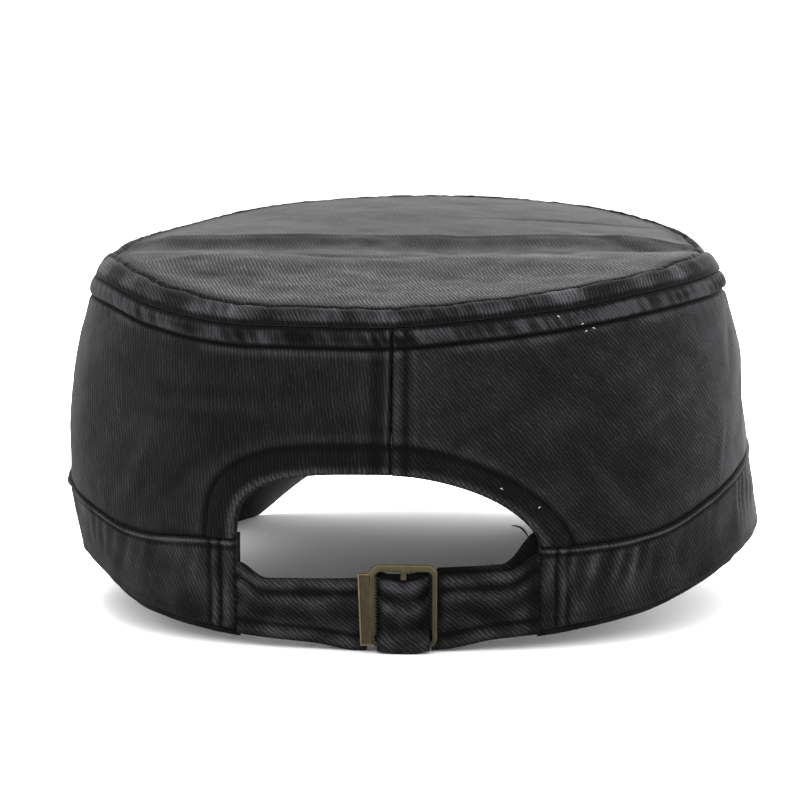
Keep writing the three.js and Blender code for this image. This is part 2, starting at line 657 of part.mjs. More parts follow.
// A strap along the back as a sweep through a list of angles. Each function gives a
// height above the table or a depth inside the band's face; lip is the lowest part's.
function strap(angles, { low, high, depth, lip }) {
  const rings = angles.map((angle) => {
    const bottom = low(angle);
    const top = high(angle);
    const knee = Math.max(bottom + 0.4, BUCKLE_FOOT + BUCKLE_WIRE + GAP + 0.3);
    const shoulder = Math.max(knee + 0.4, BUCKLE_FOOT + BUCKLE_WIRE + 3.5);
    const face = headRadius(angle);
    const outer = [[bottom, lip(angle)], [knee, lip(angle)], [shoulder, depth(angle)], [top, depth(angle)]];
    const inner = outer.map(([z, inward]) => [z, inward + STRAP_THICK]).reverse();
    return [...outer, ...inner].map(([z, inward]) => polar(angle, face - inward, z));
  });
  return sweep(rings);
}

// The long strap comes from the left, runs behind the left bar, over the middle post
// and the lower bar, and behind the right bar. Its tail lies inside the short strap.
function strapLong() {
  const clearOfTeeth = windowHalf - TOOTH_LENGTH - 0.2;
  const inWindow = (angle) => smooth(-Math.abs(fromBuckle(angle)), -clearOfTeeth, -clearOfTeeth + 1.4);
  const dive = (angle) => smooth(fromBuckle(angle), 1.5, windowHalf - 1);
  const tailDepth = underBar + STRAP_THICK + GAP;
  const depth = (angle) => (fromBuckle(angle) < 0
    ? lerp(underBar, WINDOW_BULGE, inWindow(angle))
    : lerp(WINDOW_BULGE, tailDepth, dive(angle)));
  const lipWindow = (angle) => smooth(-Math.abs(fromBuckle(angle)), -windowHalf + 0.6, -windowHalf + 1.2);
  const lipDepth = -BUCKLE_OUT - BUCKLE_WIRE / 2 - GAP - STRAP_THICK;
  const lip = (angle) => lerp(depth(angle), lipDepth, lipWindow(angle));
  const barTop = BUCKLE_FOOT + BUCKLE_WIRE + GAP;
  const hook = (angle) => {
    const x = fromBuckle(angle);
    const leftSide = smooth(x, -BUCKLE_WIDTH / 2 - 1.2, -BUCKLE_WIDTH / 2) * (x < 0 ? 1 : 0);
    const rightSide = x > 0 ? 1 : 0;
    return (leftSide + rightSide) * (1 - smooth(-Math.abs(x), -windowHalf + 1.2, -windowHalf + 2.4));
  };
  const low = (angle) => lerp(strapLow(angle), Math.max(barTop, strapLow(angle)), hook(angle));
  const tail = (angle) => smooth(fromBuckle(angle), windowHalf, windowHalf + 2);
  const tailEnd = openingEnd(1, 0) - TAIL_SHORT;
  const rise = (angle) => TAIL_OVERHANG + TAIL_CURL * smooth(angle, tailEnd - 7, tailEnd);
  const high = (angle) => windowHigh(angle) + rise(angle) * tail(angle);
  const slack = (GAP / headRadius(0)) / RADIANS;
  const buckleFrom = angleOf(BUCKLE_SHIFT - BUCKLE_WIDTH / 2 - 1.5);
  const buckleTo = angleOf(BUCKLE_SHIFT + BUCKLE_WIDTH / 2);
  const angles = [
    ...steps(openingEnd(-1, 0) + slack, buckleFrom, 9),
    ...steps(buckleFrom, buckleTo, 32).slice(1),
    ...steps(buckleTo, tailEnd, 10).slice(1),
  ];
  return strap(angles, { low, high, depth, lip });
}

// The short strap holds the buckle behind its right bar.
function strapShort() {
  const slack = (GAP / headRadius(0)) / RADIANS;
  const depth = () => underBar;
  const from = angleOf(BUCKLE_SHIFT + windowHalf + 0.1);
  const to = openingEnd(1, 0) - slack;
  return strap(steps(from, to, 14), { low: strapLow, high: strapHigh, depth, lip: depth });
}

// The buckle

const buckleAngle = angleOf(BUCKLE_SHIFT);

// Carries a shape drawn flat, x to the right and y up from the buckle's foot, to its
// place on the back: its own z becomes the way outwards from the head.
function onBuckle(geometry) {
  const stand = new THREE.Matrix4().makeRotationX(Math.PI / 2);
  const turn = new THREE.Matrix4().makeRotationZ(buckleAngle * RADIANS);
  const centre = polar(buckleAngle, headRadius(buckleAngle), BUCKLE_FOOT);
  const place = new THREE.Matrix4().makeTranslation(centre.x, centre.y, centre.z);
  return geometry.applyMatrix4(stand).applyMatrix4(turn).applyMatrix4(place);
}

function roundedRectangle(path, left, bottom, right, top, corner) {
  path.moveTo(left + corner, bottom);
  path.lineTo(right - corner, bottom);
  path.absarc(right - corner, bottom + corner, corner, -Math.PI / 2, 0);
  path.lineTo(right, top - corner);
  path.absarc(right - corner, top - corner, corner, 0, Math.PI / 2);
  path.lineTo(left + corner, top);
  path.absarc(left + corner, top - corner, corner, Math.PI / 2, Math.PI);
  path.lineTo(left, bottom + corner);
  path.absarc(left + corner, bottom + corner, corner, Math.PI, 1.5 * Math.PI);
  return path;
}

// The frame's window, with a row of teeth on its left side.
function windowPath() {
  const left = -windowHalf;
  const corner = BUCKLE_CORNER - BUCKLE_WIRE;
  const bottom = BUCKLE_WIRE;
  const top = BUCKLE_HEIGHT - BUCKLE_WIRE;
  const path = new THREE.Path();
  path.moveTo(left + corner, bottom);
  path.lineTo(-left - corner, bottom);
  path.absarc(-left - corner, bottom + corner, corner, -Math.PI / 2, 0);
  path.lineTo(-left, top - corner);
  path.absarc(-left - corner, top - corner, corner, 0, Math.PI / 2);
  path.lineTo(left + corner, top);
  path.absarc(left + corner, top - corner, corner, Math.PI / 2, Math.PI);
  const from = top - corner - 0.6;
  const to = bottom + corner + 0.6;
  for (let i = 0; i < TOOTH_COUNT; i += 1) {
    path.lineTo(left, lerp(from, to, i / TOOTH_COUNT));
    path.lineTo(left + TOOTH_LENGTH, lerp(from, to, (i + 0.5) / TOOTH_COUNT));
  }
  path.lineTo(left, to);
  path.absarc(left + corner, bottom + corner, corner, Math.PI, 1.5 * Math.PI);
  return path;
}

// The frame with its middle post: it hangs from the upper bar, turns in behind the long
// strap and joins the lower bar.
function buckleFrame() {
  const half = BUCKLE_WIDTH / 2;
  const outline = roundedRectangle(new THREE.Shape(), -half, 0, half, BUCKLE_HEIGHT, BUCKLE_CORNER);
  outline.holes.push(windowPath());
  const bevel = 0.35;
  const ring = new THREE.ExtrudeGeometry(outline, {
    depth: BUCKLE_WIRE - 2 * bevel,
    bevelThickness: bevel,
    bevelSize: bevel,
    bevelOffset: -bevel,
    bevelSegments: 1,
    curveSegments: 4,
  });
  ring.translate(0, 0, BUCKLE_OUT - BUCKLE_WIRE / 2 + bevel);
  const back = -(WINDOW_BULGE + STRAP_THICK + GAP + POST_WIRE / 2);
  const wall = BUCKLE_WIRE / 2;
  const route = [
    [BUCKLE_HEIGHT - wall, BUCKLE_OUT],
    [BUCKLE_HEIGHT - BUCKLE_WIRE - POST_LENGTH, BUCKLE_OUT],
    [windowHigh(buckleAngle) - BUCKLE_FOOT + POST_WIRE / 2 + GAP, back],
    [BUCKLE_WIRE + 4, back],
    [BUCKLE_WIRE + 1.4, back / 2],
    [wall, BUCKLE_OUT],
  ];
  const path = new THREE.CurvePath();
  const points = route.map(([y, z]) => new THREE.Vector3(0, y, z));
  points.slice(1).forEach((point, i) => path.add(new THREE.LineCurve3(points[i], point)));
  const solids = [toManifold(weld(ring))];
  for (let i = 0; i < points.length - 1; i += 1) solids.push(toManifold(weld(wire(points[i], points[i + 1]))));
  return onBuckle(fromManifold(wasm.Manifold.union(solids)));
}

// A short square wire between two points in the plane x = 0, a little longer than their
// distance so that its turns close.
function wire(from, to) {
  const along = to.clone().sub(from);
  const bar = new THREE.BoxGeometry(POST_WIRE, along.length() + POST_WIRE * 0.5, POST_WIRE);
  bar.rotateX(Math.atan2(along.z, along.y));
  const middle = from.clone().add(to).multiplyScalar(0.5);
  return bar.translate(middle.x, middle.y, middle.z);
}

// The clamp's flat lever beside the left bar, with a raised rim.
function buckleClamp() {
  const right = -BUCKLE_WIDTH / 2 - GAP;
  const left = right - CLAMP_WIDTH;
  const bottom = CLAMP_FOOT;
  const plate = new THREE.ExtrudeGeometry(
    roundedRectangle(new THREE.Shape(), left, bottom, right, bottom + CLAMP_HEIGHT, 0.6),
    { depth: CLAMP_THICK, bevelEnabled: false, curveSegments: 2 },
  );
  const rim = CLAMP_RIM;
  const recess = new THREE.BoxGeometry(CLAMP_WIDTH - 2 * rim, CLAMP_HEIGHT - 2 * rim, CLAMP_THICK);
  recess.translate((left + right) / 2, bottom + CLAMP_HEIGHT / 2, CLAMP_THICK * 1.5 - CLAMP_RECESS);
  const cut = toManifold(weld(plate)).subtract(toManifold(weld(recess)));
  const geometry = fromManifold(cut);
  geometry.translate(0, 0, -underBar + GAP);
  geometry.rotateZ(CLAMP_LEAN * RADIANS);
  return onBuckle(geometry);
}

// Materials and assembly

const TWILL = { color: 0x2f3033, roughness: 0.95, metalness: 0 };
const TWILL_TOP = { color: 0x55565a, roughness: 0.95, metalness: 0 };
const LINING = { color: 0x26272a, roughness: 0.95, metalness: 0 };
const BRASS = { color: 0x6b6238, roughness: 0.45, metalness: 0.9 };

function piece(name, geometry, look) {
  const mesh = new THREE.Mesh(geometry, new THREE.MeshStandardMaterial(look));
  mesh.name = name;
  return mesh;
}

// Everything is drawn round the middle of the head and then moved, so that the origin
// is on the table below the middle of the whole cap.
function buildCap() {
  const cap = new THREE.Group();
  cap.add(
    piece('crown_top', crownTop(), TWILL_TOP),
    piece('side_panel_left', sidePanel(-1), TWILL),
    piece('side_panel_right', sidePanel(1), TWILL),
    piece('front_panel', frontPanel(), TWILL),
    piece('arch_binding', archBinding(), TWILL),
    piece('headband', headband(), TWILL),
    piece('sweatband', sweatband(), LINING),
    piece('peak', peak(), TWILL),
    piece('strap_long', strapLong(), TWILL),
    piece('strap_short', strapShort(), TWILL),
    piece('buckle_frame', buckleFrame(), BRASS),
    piece('buckle_clamp', buckleClamp(), BRASS),
  );
  const middle = new THREE.Box3().setFromObject(cap).getCenter(new THREE.Vector3());
  cap.children.forEach((mesh) => mesh.geometry.translate(-middle.x, -middle.y, 0));
  return cap;
}

export default buildCap();
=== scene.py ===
# %% [markdown]
# A washed twill patrol cap
#
# This lesson dresses the solids of a patrol cap in cloth and brass. The cap lies on a
# table and is seen from behind, with its strap and buckle towards us. Each piece of the
# real cap gets a surface of its own, worked out with numpy as a grid of points, and
# each material is a small recipe of shader maths. The solids stay underneath as the
# frame that says where everything is.

# %% Load the solids
import math

import bpy
import numpy as np
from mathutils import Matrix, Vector


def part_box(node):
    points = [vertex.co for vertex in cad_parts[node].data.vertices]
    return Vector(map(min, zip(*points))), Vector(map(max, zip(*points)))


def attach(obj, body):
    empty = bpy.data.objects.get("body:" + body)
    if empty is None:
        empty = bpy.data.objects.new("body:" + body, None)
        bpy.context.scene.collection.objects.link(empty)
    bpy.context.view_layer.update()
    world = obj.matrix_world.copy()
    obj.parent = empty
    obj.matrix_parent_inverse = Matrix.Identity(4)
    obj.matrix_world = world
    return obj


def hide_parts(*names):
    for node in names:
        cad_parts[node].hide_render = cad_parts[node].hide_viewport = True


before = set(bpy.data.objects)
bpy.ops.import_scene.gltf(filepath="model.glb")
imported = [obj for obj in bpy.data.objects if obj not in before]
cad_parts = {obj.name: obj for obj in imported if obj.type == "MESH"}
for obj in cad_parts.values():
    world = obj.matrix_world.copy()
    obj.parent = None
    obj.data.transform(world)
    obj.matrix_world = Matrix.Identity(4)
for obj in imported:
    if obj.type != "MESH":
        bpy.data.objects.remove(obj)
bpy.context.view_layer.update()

print("solids:", sorted(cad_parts))

# %% [markdown]
# Where the head is
#
# The surfaces are drawn in millimetres round the middle of the head, because a cap is
# cut and sewn round a head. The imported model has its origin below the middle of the
# whole cap, peak included, so every point moves by the same small step at the end. The
# left panel ends at the seam in the middle of the back, and the back edge of the top
# panel lies half the top's depth behind the middle, so those two solids give the step.

# %% Find the middle of the head
MM = 0.001
SEAM_GAP = 0.3
TOP_DEPTH = 168

left_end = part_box("side_panel_left")[1][0]
top_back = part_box("crown_top")[0][1]
HEAD_MIDDLE = np.array([left_end + SEAM_GAP / 2 * MM, top_back + TOP_DEPTH / 2 * MM, 0.0])
print("middle of the head, in metres:", HEAD_MIDDLE.round(5))

# %% [markdown]
# Sizes
#
# These are the sizes that the solids were made with, in millimetres. Writing them again
# by name keeps the cloth exactly on the solids without reading anything but the frame.

# %% Named sizes
HEAD_WIDTH = 197
HEAD_DEPTH = 184
HEAD_SQUARENESS = 2.2
TOP_WIDTH = 179
TOP_SQUARENESS = 2.35
BACK_HEIGHT = 83.3
FRONT_HEIGHT = 104.6
RIM_LIFT = 33
PANEL_THICK = 1.6
TOP_THICK = 1.6
RIM_THICK = 0.7
TOP_DOME = 1.5
SEAM_STRIP = 5
TOP_RING = 5
RING_RISE = 3.6
RING_RISE_BACK = 2
FELL_WIDTH = 5.4
FRONT_SEAM_ANGLE = 122
BAND_WIDTH = 24
BAND_THICK = 2.2
SWEATBAND_THICK = 1.2
SWEATBAND_SHOWS = 2.2
OPENING_WIDTH = 78
OPENING_SHIFT = -1.2
ARCH_RISE = 18
ARCH_SQUARENESS_LEFT = 3.3
ARCH_SQUARENESS_RIGHT = 1.75
BINDING_WIDTH = 7.2
STRAP_WIDTH = 19.5
STRAP_SLOPE = 0.04
STRAP_THICK = 1.6
BUCKLE_WIDTH = 17.6
BUCKLE_HEIGHT = 21.8
BUCKLE_SHIFT = 3.4
BUCKLE_FOOT = 1.2
WIRE = 1.5
PEAK_LENGTH = 64
PEAK_THICK = 2.6
PEAK_HALF_ANGLE = 51
PEAK_EDGE_HEIGHT = 22
PEAK_SQUARENESS = 2.1
PEAK_CAMBER = 3
PEAK_DROOP_PLACE = 1.6
CLOTH_CELL = 0.75

# %% [markdown]
# The outline round the head
#
# A soft cap is never quite round. Each row of this table is a place round the head,
# with 0 degrees at the middle of the back and 90 at the right. rim is the height of the
# lower edge, band the rise of the headband and edge the rise of the crown's top edge,
# all as shares. The three outs are shares of the plan radius, and belly is how far the
# wall stands out halfway up.

# %% The stations
STATION_COLUMNS = ("angle", "rim", "band", "edge", "rim_out", "band_out", "edge_out", "belly")
STATION_ROWS = (
    (-150, 0.92, 1.0, 0.88, 1.0, 1.0, 1.025, 0.012),
    (-120, 0.71, 0.97, 0.57, 0.99, 1.0, 0.995, 0.014),
    (-90, 0.43, 0.95, 0.455, 0.96, 1.0, 0.985, 0.016),
    (-75, 0.39, 0.92, 0.415, 0.965, 1.0, 1.005, 0.014),
    (-60, 0.33, 0.86, 0.375, 0.97, 1.0, 1.01, 0.01),
    (-45, 0.18, 0.89, 0.152, 1.0, 1.0, 1.0, 0.008),
    (-30, 0.075, 1.07, 0.012, 1.0, 1.0, 1.0, 0.006),
    (-15, 0.025, 1.13, 0, 1.0, 1.0, 1.0, 0.006),
    (0, 0, 1.16, 0, 1.0, 1.0, 1.0, 0.006),
    (15, 0.05, 1.09, 0.094, 1.0, 1.0, 1.0, 0.006),
    (30, 0.12, 0.96, 0.21, 1.0, 1.0, 1.0, 0.006),
    (45, 0.23, 0.9, 0.362, 1.005, 1.0, 1.0, 0.006),
    (60, 0.41, 0.94, 0.468, 1.01, 0.99, 1.0, 0.006),
    (75, 0.51, 1.03, 0.51, 1.005, 0.98, 0.99, 0.01),
    (90, 0.58, 1.04, 0.44, 1.01, 0.975, 0.96, 0.013),
    (120, 0.77, 1.0, 0.65, 1.0, 0.98, 0.965, 0.01),
    (150, 0.94, 1.0, 0.9, 1.0, 1.0, 1.01, 0.012),
    (180, 1, 1.0, 1, 1.0, 1.0, 1.02, 0.012),
)
STATIONS = {name: np.array(values, float) for name, values in zip(STATION_COLUMNS, zip(*STATION_ROWS))}


def station(name, angle):
    """A column of the table at any angles: a cubic through its rows, closed round the head.

    Between two rows it is the Hermite cubic whose slope at each row is that of the line
    joining the row's two neighbours.
    """
    rows, values = STATIONS["angle"], STATIONS[name]
    around = np.concatenate([rows - 360, rows, rows + 360])
    level = np.tile(values, 3)
    slope = np.gradient(level)
    slope[1:-1] = (level[2:] - level[:-2]) / (around[2:] - around[:-2])
    x = (np.asarray(angle, float) + 180) % 360 - 180
    i = np.clip(np.searchsorted(around, x, "right") - 1, 0, len(around) - 2)
    span = around[i + 1] - around[i]
    t = (x - around[i]) / span
    return ((2 * t**3 - 3 * t**2 + 1) * level[i] + (t**3 - 2 * t**2 + t) * slope[i] * span
            + (3 * t**2 - 2 * t**3) * level[i + 1] + (t**3 - t**2) * slope[i + 1] * span)


def oval(width, depth, squareness, angle):
    """Radius of an oval between an ellipse and a rectangle, at an angle from the back."""
    across = np.abs(np.sin(np.radians(angle))) / (width / 2)
    along = np.abs(np.cos(np.radians(angle))) / (depth / 2)
    return (across**squareness + along**squareness) ** (-1 / squareness)


def polar(angle, radius, height):
    """Points in millimetres from an angle round the head, a radius and a height."""
    turn = np.radians(angle)
    return np.stack(np.broadcast_arrays(radius * np.sin(turn), -radius * np.cos(turn), height), -1)


def head_radius(angle):
    """Plan radius of the head oval."""
    return oval(HEAD_WIDTH, HEAD_DEPTH, HEAD_SQUARENESS, angle)


def top_radius(angle):
    """Plan radius of the crown's top edge."""
    return oval(TOP_WIDTH, TOP_DEPTH, TOP_SQUARENESS, angle) * station("edge_out", angle)


def rim_height(angle):
    """Height of the cap's lower edge."""
    return RIM_LIFT * np.maximum(0, station("rim", angle))


def seam_height(angle):
    """Height of the seam between the headband and the crown."""
    return rim_height(angle) + BAND_WIDTH * station("band", angle)


def edge_height(angle):
    """Height of the crown's top edge."""
    return BACK_HEIGHT + (FRONT_HEIGHT - BACK_HEIGHT) * station("edge", angle)


def wall_height(angle):
    """Height of the crown's wall alone."""
    return edge_height(angle) - seam_height(angle)


print("rim rises to", float(rim_height(180)), "mm at the front")

# %% [markdown]
# Helpers for soft shapes
#
# Cloth is built from a few simple curves: a bell for a fold, a smooth step for an edge,
# and a sum of waves in random directions for the small unevenness that washing leaves.
# The random numbers have fixed seeds, so each run gives the same cap.

# %% Bells, steps and ripples
def wrapped(angle):
    """The angle brought into -180 to 180 degrees."""
    return (np.asarray(angle, float) + 180) % 360 - 180


def bell(x, wide):
    """1 at x = 0, falling off as exp(-(x / wide) squared)."""
    return np.exp(-((np.asarray(x) / wide) ** 2))


def bells(x, *rows):
    """A sum of bells, from rows of a height, a place and a width."""
    return sum(high * bell(x - at, wide) for high, at, wide in rows)


def step(x, start, end):
    """A smooth rise from 0 at start to 1 at end: 3 t squared minus 2 t cubed."""
    t = np.clip((np.asarray(x, float) - start) / (end - start), 0, 1)
    return t * t * (3 - 2 * t)


def mix(a, b, share):
    """a at share 0 and b at share 1."""
    return a + (b - a) * share


def cloth_u(angle):
    """Distance round the head in millimetres from the middle of the back."""
    return np.radians(angle) * (HEAD_WIDTH + HEAD_DEPTH) / 4


RIPPLE_WAVES = 28


def ripple(u, v, size, seed, stretch=1.0):
    """Smooth unevenness with a spread of about 1: a sum of waves in random directions.

    Each wave is the cosine of a random phase plus the place along a random direction,
    divided by a wavelength near size. stretch lengthens the waves along u.
    """
    draw = np.random.default_rng(seed)
    turn = draw.uniform(0, math.tau, RIPPLE_WAVES)
    length = size * draw.uniform(0.7, 1.6, RIPPLE_WAVES)
    phase = draw.uniform(0, math.tau, RIPPLE_WAVES)
    total = np.zeros(np.broadcast(u, v).shape)
    for k in range(RIPPLE_WAVES):
        place = (u * math.cos(turn[k]) / stretch + v * math.sin(turn[k])) / length[k]
        total += np.cos(math.tau * place + phase[k])
    return total * math.sqrt(2 / RIPPLE_WAVES)


def puckers(along, pitch, seed, uneven=0.8):
    """Gathers beside a seam: a wave whose phase wanders, made sharper on its crests."""
    wander = ripple(along, 0 * along, pitch * 4, seed) * uneven
    strength = 0.65 + 0.35 * ripple(along, 0 * along, pitch * 7, seed + 1)
    wave = 0.5 + 0.5 * np.cos(math.tau * along / pitch + 2.2 * wander)
    return (wave**1.5 - 0.4) * np.clip(strength, 0.1, 1.5)


def ridges(x, y, rows):
    """Long soft folds, each a bell along its own direction times a narrower bell across it.

    A row holds the place, the turn in degrees, the half length, the half width and the height.
    """
    total = 0
    for px, py, turn, long, wide, high in rows:
        cosine, sine = math.cos(math.radians(turn)), math.sin(math.radians(turn))
        along, across = (x - px) * cosine + (y - py) * sine, (y - py) * cosine - (x - px) * sine
        total = total + high * bell(along, long) * bell(across, wide)
    return total


def padded(distance, width):
    """The profile of a padded strip: half a sine across its width."""
    return np.sin(math.pi * np.clip(distance / width, 0, 1))


def rolled(distance, radius):
    """How far a cloth edge falls away as it rolls over: a quarter circle at its edge."""
    inside = np.clip(1 - np.asarray(distance, float) / radius, 0, 1)
    return -radius * (1 - np.sqrt(1 - 0.96 * inside**2))


def soften(field, cells):
    """The field blurred over some cells: its Fourier transform times a bell, mirrored at the edges."""
    pad = 3 * cells
    wide = np.pad(field, pad, mode="reflect" if min(field.shape) > pad else "edge")
    waves = np.hypot(np.fft.fftfreq(wide.shape[0])[:, None], np.fft.rfftfreq(wide.shape[1])[None])
    calm = np.fft.irfft2(np.fft.rfft2(wide) * np.exp(-2 * (math.pi * waves * cells) ** 2), s=wide.shape)
    return calm[pad:-pad, pad:-pad]


def worn_and_shaded(relief, cells, gain, shade=0.0):
    """Wash wear from 0 in the hollows to 1 on the ridges, with painted light and shade added.

    It is a half, plus the gain times how far the relief lies above its own blur, plus a shade, which brings
    in each piece's tone with its painted light and shade.
    """
    return np.clip(0.5 + gain * (relief - soften(relief, cells)) + shade, 0, 1)


# %% [markdown]
# From grids to meshes
#
# Each soft piece is a wall with two faces, so a piece is an outer and an inner grid of
# points, joined round the border into one closed solid. The faces are lists of corner
# numbers that numpy can write for the whole grid at once. Two things are stored on the
# points for the materials: weave, the place on the cloth in millimetres, and wear and
# shade, the wash wear with painted light and shade added to it.

# %% Mesh builders
HIDDEN_WEAR = 0.45


def quads(numbers):
    """Faces of a grid of point numbers, one for each cell, as rows of four corners."""
    corners = [numbers[:-1, :-1], numbers[1:, :-1], numbers[1:, 1:], numbers[:-1, 1:]]
    return np.stack(corners, -1).reshape(-1, 4)


def outward(points, faces):
    """The faces turned round if the solid that they close would have a negative volume."""
    a, b, c = points[faces[:, 0]], points[faces[:, 1]], points[faces[:, 2]]
    volume = np.einsum("ij,ij->i", a, np.cross(b, c)).sum()
    if faces.shape[1] == 4:
        d = points[faces[:, 3]]
        volume += np.einsum("ij,ij->i", a, np.cross(c, d)).sum()
    return faces if volume > 0 else faces[:, ::-1]


def make_piece(name, points, face_sets, weave=None, wear_and_shade=None):
    """A smooth mesh object from points in millimetres round the head and sets of faces."""
    mesh = bpy.data.meshes.new(name)
    corners = np.concatenate([faces.ravel() for faces in face_sets])
    sizes = np.concatenate([np.full(len(faces), faces.shape[1]) for faces in face_sets])
    mesh.vertices.add(len(points))
    mesh.vertices.foreach_set("co", (points * MM + HEAD_MIDDLE).astype(np.float32).ravel())
    mesh.loops.add(len(corners))
    mesh.loops.foreach_set("vertex_index", corners.astype(np.int32))
    mesh.polygons.add(len(sizes))
    mesh.polygons.foreach_set("loop_start", (np.cumsum(sizes) - sizes).astype(np.int32))
    mesh.update(calc_edges=True)
    mesh.polygons.foreach_set("use_smooth", np.ones(len(sizes), bool))
    if weave is not None:
        layer = mesh.attributes.new("weave", "FLOAT_VECTOR", "POINT")
        layer.data.foreach_set("vector", weave.astype(np.float32).ravel())
    if wear_and_shade is not None:
        layer = mesh.attributes.new("wear_and_shade", "FLOAT", "POINT")
        layer.data.foreach_set("value", wear_and_shade.astype(np.float32).ravel())
    mesh.validate()
    piece = bpy.data.objects.new(name, mesh)
    bpy.context.scene.collection.objects.link(piece)
    return piece


def weave_of(u, v, show):
    """The place on the cloth, u and v in millimetres, with how strongly the wales show there."""
    return np.stack(np.broadcast_arrays(u, v, show), -1)


def cloth_wall(name, outer, inner, weave, wear_and_shade):
    """A closed wall between an outer and an inner grid of points, each columns by rows by 3."""
    columns, rows = outer.shape[:2]
    front = np.arange(columns * rows).reshape(columns, rows)
    back = front + columns * rows
    sides = [(back[:, 0], front[:, 0]), (front[:, -1], back[:, -1]),
             (front[0], back[0]), (back[-1], front[-1])]
    sets = [quads(front), quads(back)[:, ::-1]] + [quads(np.stack(pair, 1)) for pair in sides]
    points = np.concatenate([outer.reshape(-1, 3), inner.reshape(-1, 3)])
    faces = outward(points, np.concatenate(sets))
    both_weave = np.concatenate([weave.reshape(-1, 3)] * 2)
    both_wear = np.concatenate([wear_and_shade.ravel(), np.full(wear_and_shade.size, HIDDEN_WEAR)])
    return make_piece(name, points, [faces], both_weave, both_wear)


def dress(piece, material, slot, *nodes):
    """Gives a piece its material, lets it ride on the cap and hides the solids it stands for; slot is not
    used.
    """
    piece.data.materials.append(material)
    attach(piece, "root")
    if nodes:
        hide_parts(*nodes)
    print(f"{piece.name}: {len(piece.data.vertices)} points, {len(piece.data.polygons)} faces")
    return piece


# %% [markdown]
# Shader maths as plain sums
#
# A Math node for every sum makes a material hard to read. This small class wraps a
# socket, so that `wale * 0.3 + blotch` adds the two Math nodes by itself. Colours and
# vectors go through Mix and Vector Math instead, because a Math node turns a colour
# grey. Any other node comes from `Recipe.node`.

# %% A socket that can be added and multiplied
class Value:
    """The output of a node, with the operators that the recipes use."""

    def __init__(self, recipe, socket):
        self.recipe = recipe
        self.socket = socket

    def maths(self, operation, *others):
        """A Math node with this value first."""
        return self.recipe.node("ShaderNodeMath", {"operation": operation}, [self, *others])

    def __add__(self, other):
        return self.maths("ADD", other)

    __radd__ = __add__

    def __sub__(self, other):
        return self.maths("SUBTRACT", other)

    def __rsub__(self, other):
        return self.recipe.node("ShaderNodeMath", {"operation": "SUBTRACT"}, [other, self])

    def __mul__(self, other):
        return self.maths("MULTIPLY", other)

    __rmul__ = __mul__

    def __truediv__(self, other):
        return self.maths("DIVIDE", other)

    def __pow__(self, other):
        return self.maths("POWER", other)

    def clamp(self):
        """The value kept between 0 and 1."""
        return self.recipe.node("ShaderNodeClamp", {}, [self])

    def sine(self):
        """The sine of the value."""
        return self.maths("SINE")

    def whole(self):
        """The value rounded down."""
        return self.maths("FLOOR")


class Recipe:
    """A material being written: its node tree and the surface shader at its end."""

    def __init__(self, name):
        self.material = bpy.data.materials.new(name)
        self.material.use_nodes = True
        self.tree = self.material.node_tree
        self.surface = self.tree.nodes["Principled BSDF"]

    def node(self, kind, settings, sockets, output=0):
        """Adds a node. settings are its own options, sockets a list or a table of values and links."""
        made = self.tree.nodes.new(kind)
        for name, setting in settings.items():
            setattr(made, name, setting)
        given = sockets.items() if isinstance(sockets, dict) else enumerate(sockets)
        for place, value in given:
            if isinstance(value, Value):
                self.tree.links.new(value.socket, made.inputs[place])
            else:
                made.inputs[place].default_value = value
        return Value(self, made.outputs[output])

    def ramp(self, value, stops):
        """A colour ramp through stops of a place and a colour."""
        made = self.tree.nodes.new("ShaderNodeValToRGB")
        self.tree.links.new(value.socket, made.inputs[0])
        made.color_ramp.elements[0].position = stops[0][0]
        made.color_ramp.elements[0].color = (*stops[0][1], 1)
        made.color_ramp.elements[1].position = stops[-1][0]
        made.color_ramp.elements[1].color = (*stops[-1][1], 1)
        for place, colour in stops[1:-1]:
            made.color_ramp.elements.new(place).color = (*colour, 1)
        return Value(self, made.outputs[0])

    def noise(self, place, size, detail=2.0, roughness=0.5):
        """Cloud noise from 0 to 1 whose blots are about size across, in the units of place."""
        return self.node("ShaderNodeTexNoise", {},
                         {"Vector": place, "Scale": 1 / size, "Detail": detail, "Roughness": roughness})

    def set(self, **sockets):
        """Sets or links sockets of the surface shader, with _ for a space in a name."""
        for name, value in sockets.items():
            socket = self.surface.inputs[name.replace("_", " ")]
            if isinstance(value, Value):
                self.tree.links.new(value.socket, socket)
            else:
                socket.default_value = value

    def bump(self, height, distance, strength=1.0):
        """Feeds the Normal from a height in shares of a distance in metres."""
        self.set(Normal=self.node("ShaderNodeBump", {},
                                  {"Height": height, "Distance": distance, "Strength": strength}))


# %% [markdown]
# Washed twill
#
# Twill is woven so that its threads make slanting ribs, the wales, about one millimetre
# apart here. Washing takes the dye off whatever stands proud: the wales, the ridges
# beside seams and the folded edges go pale, and the hollows stay nearly black. The
# recipe reads the place on the cloth, so the wales follow each panel, and the stored
# wear and shade, which is a half where the cloth has its mean tone and also carries the
# painted light and shade. The third number of the place says how strongly the wales
# show there. Streaks run along the wales, because a thread keeps its own dye, and the
# colours lie on a ramp of equal steps in brightness.

# %% Twill recipe
CLOTH_TINT = (0.965, 0.965, 1.03)


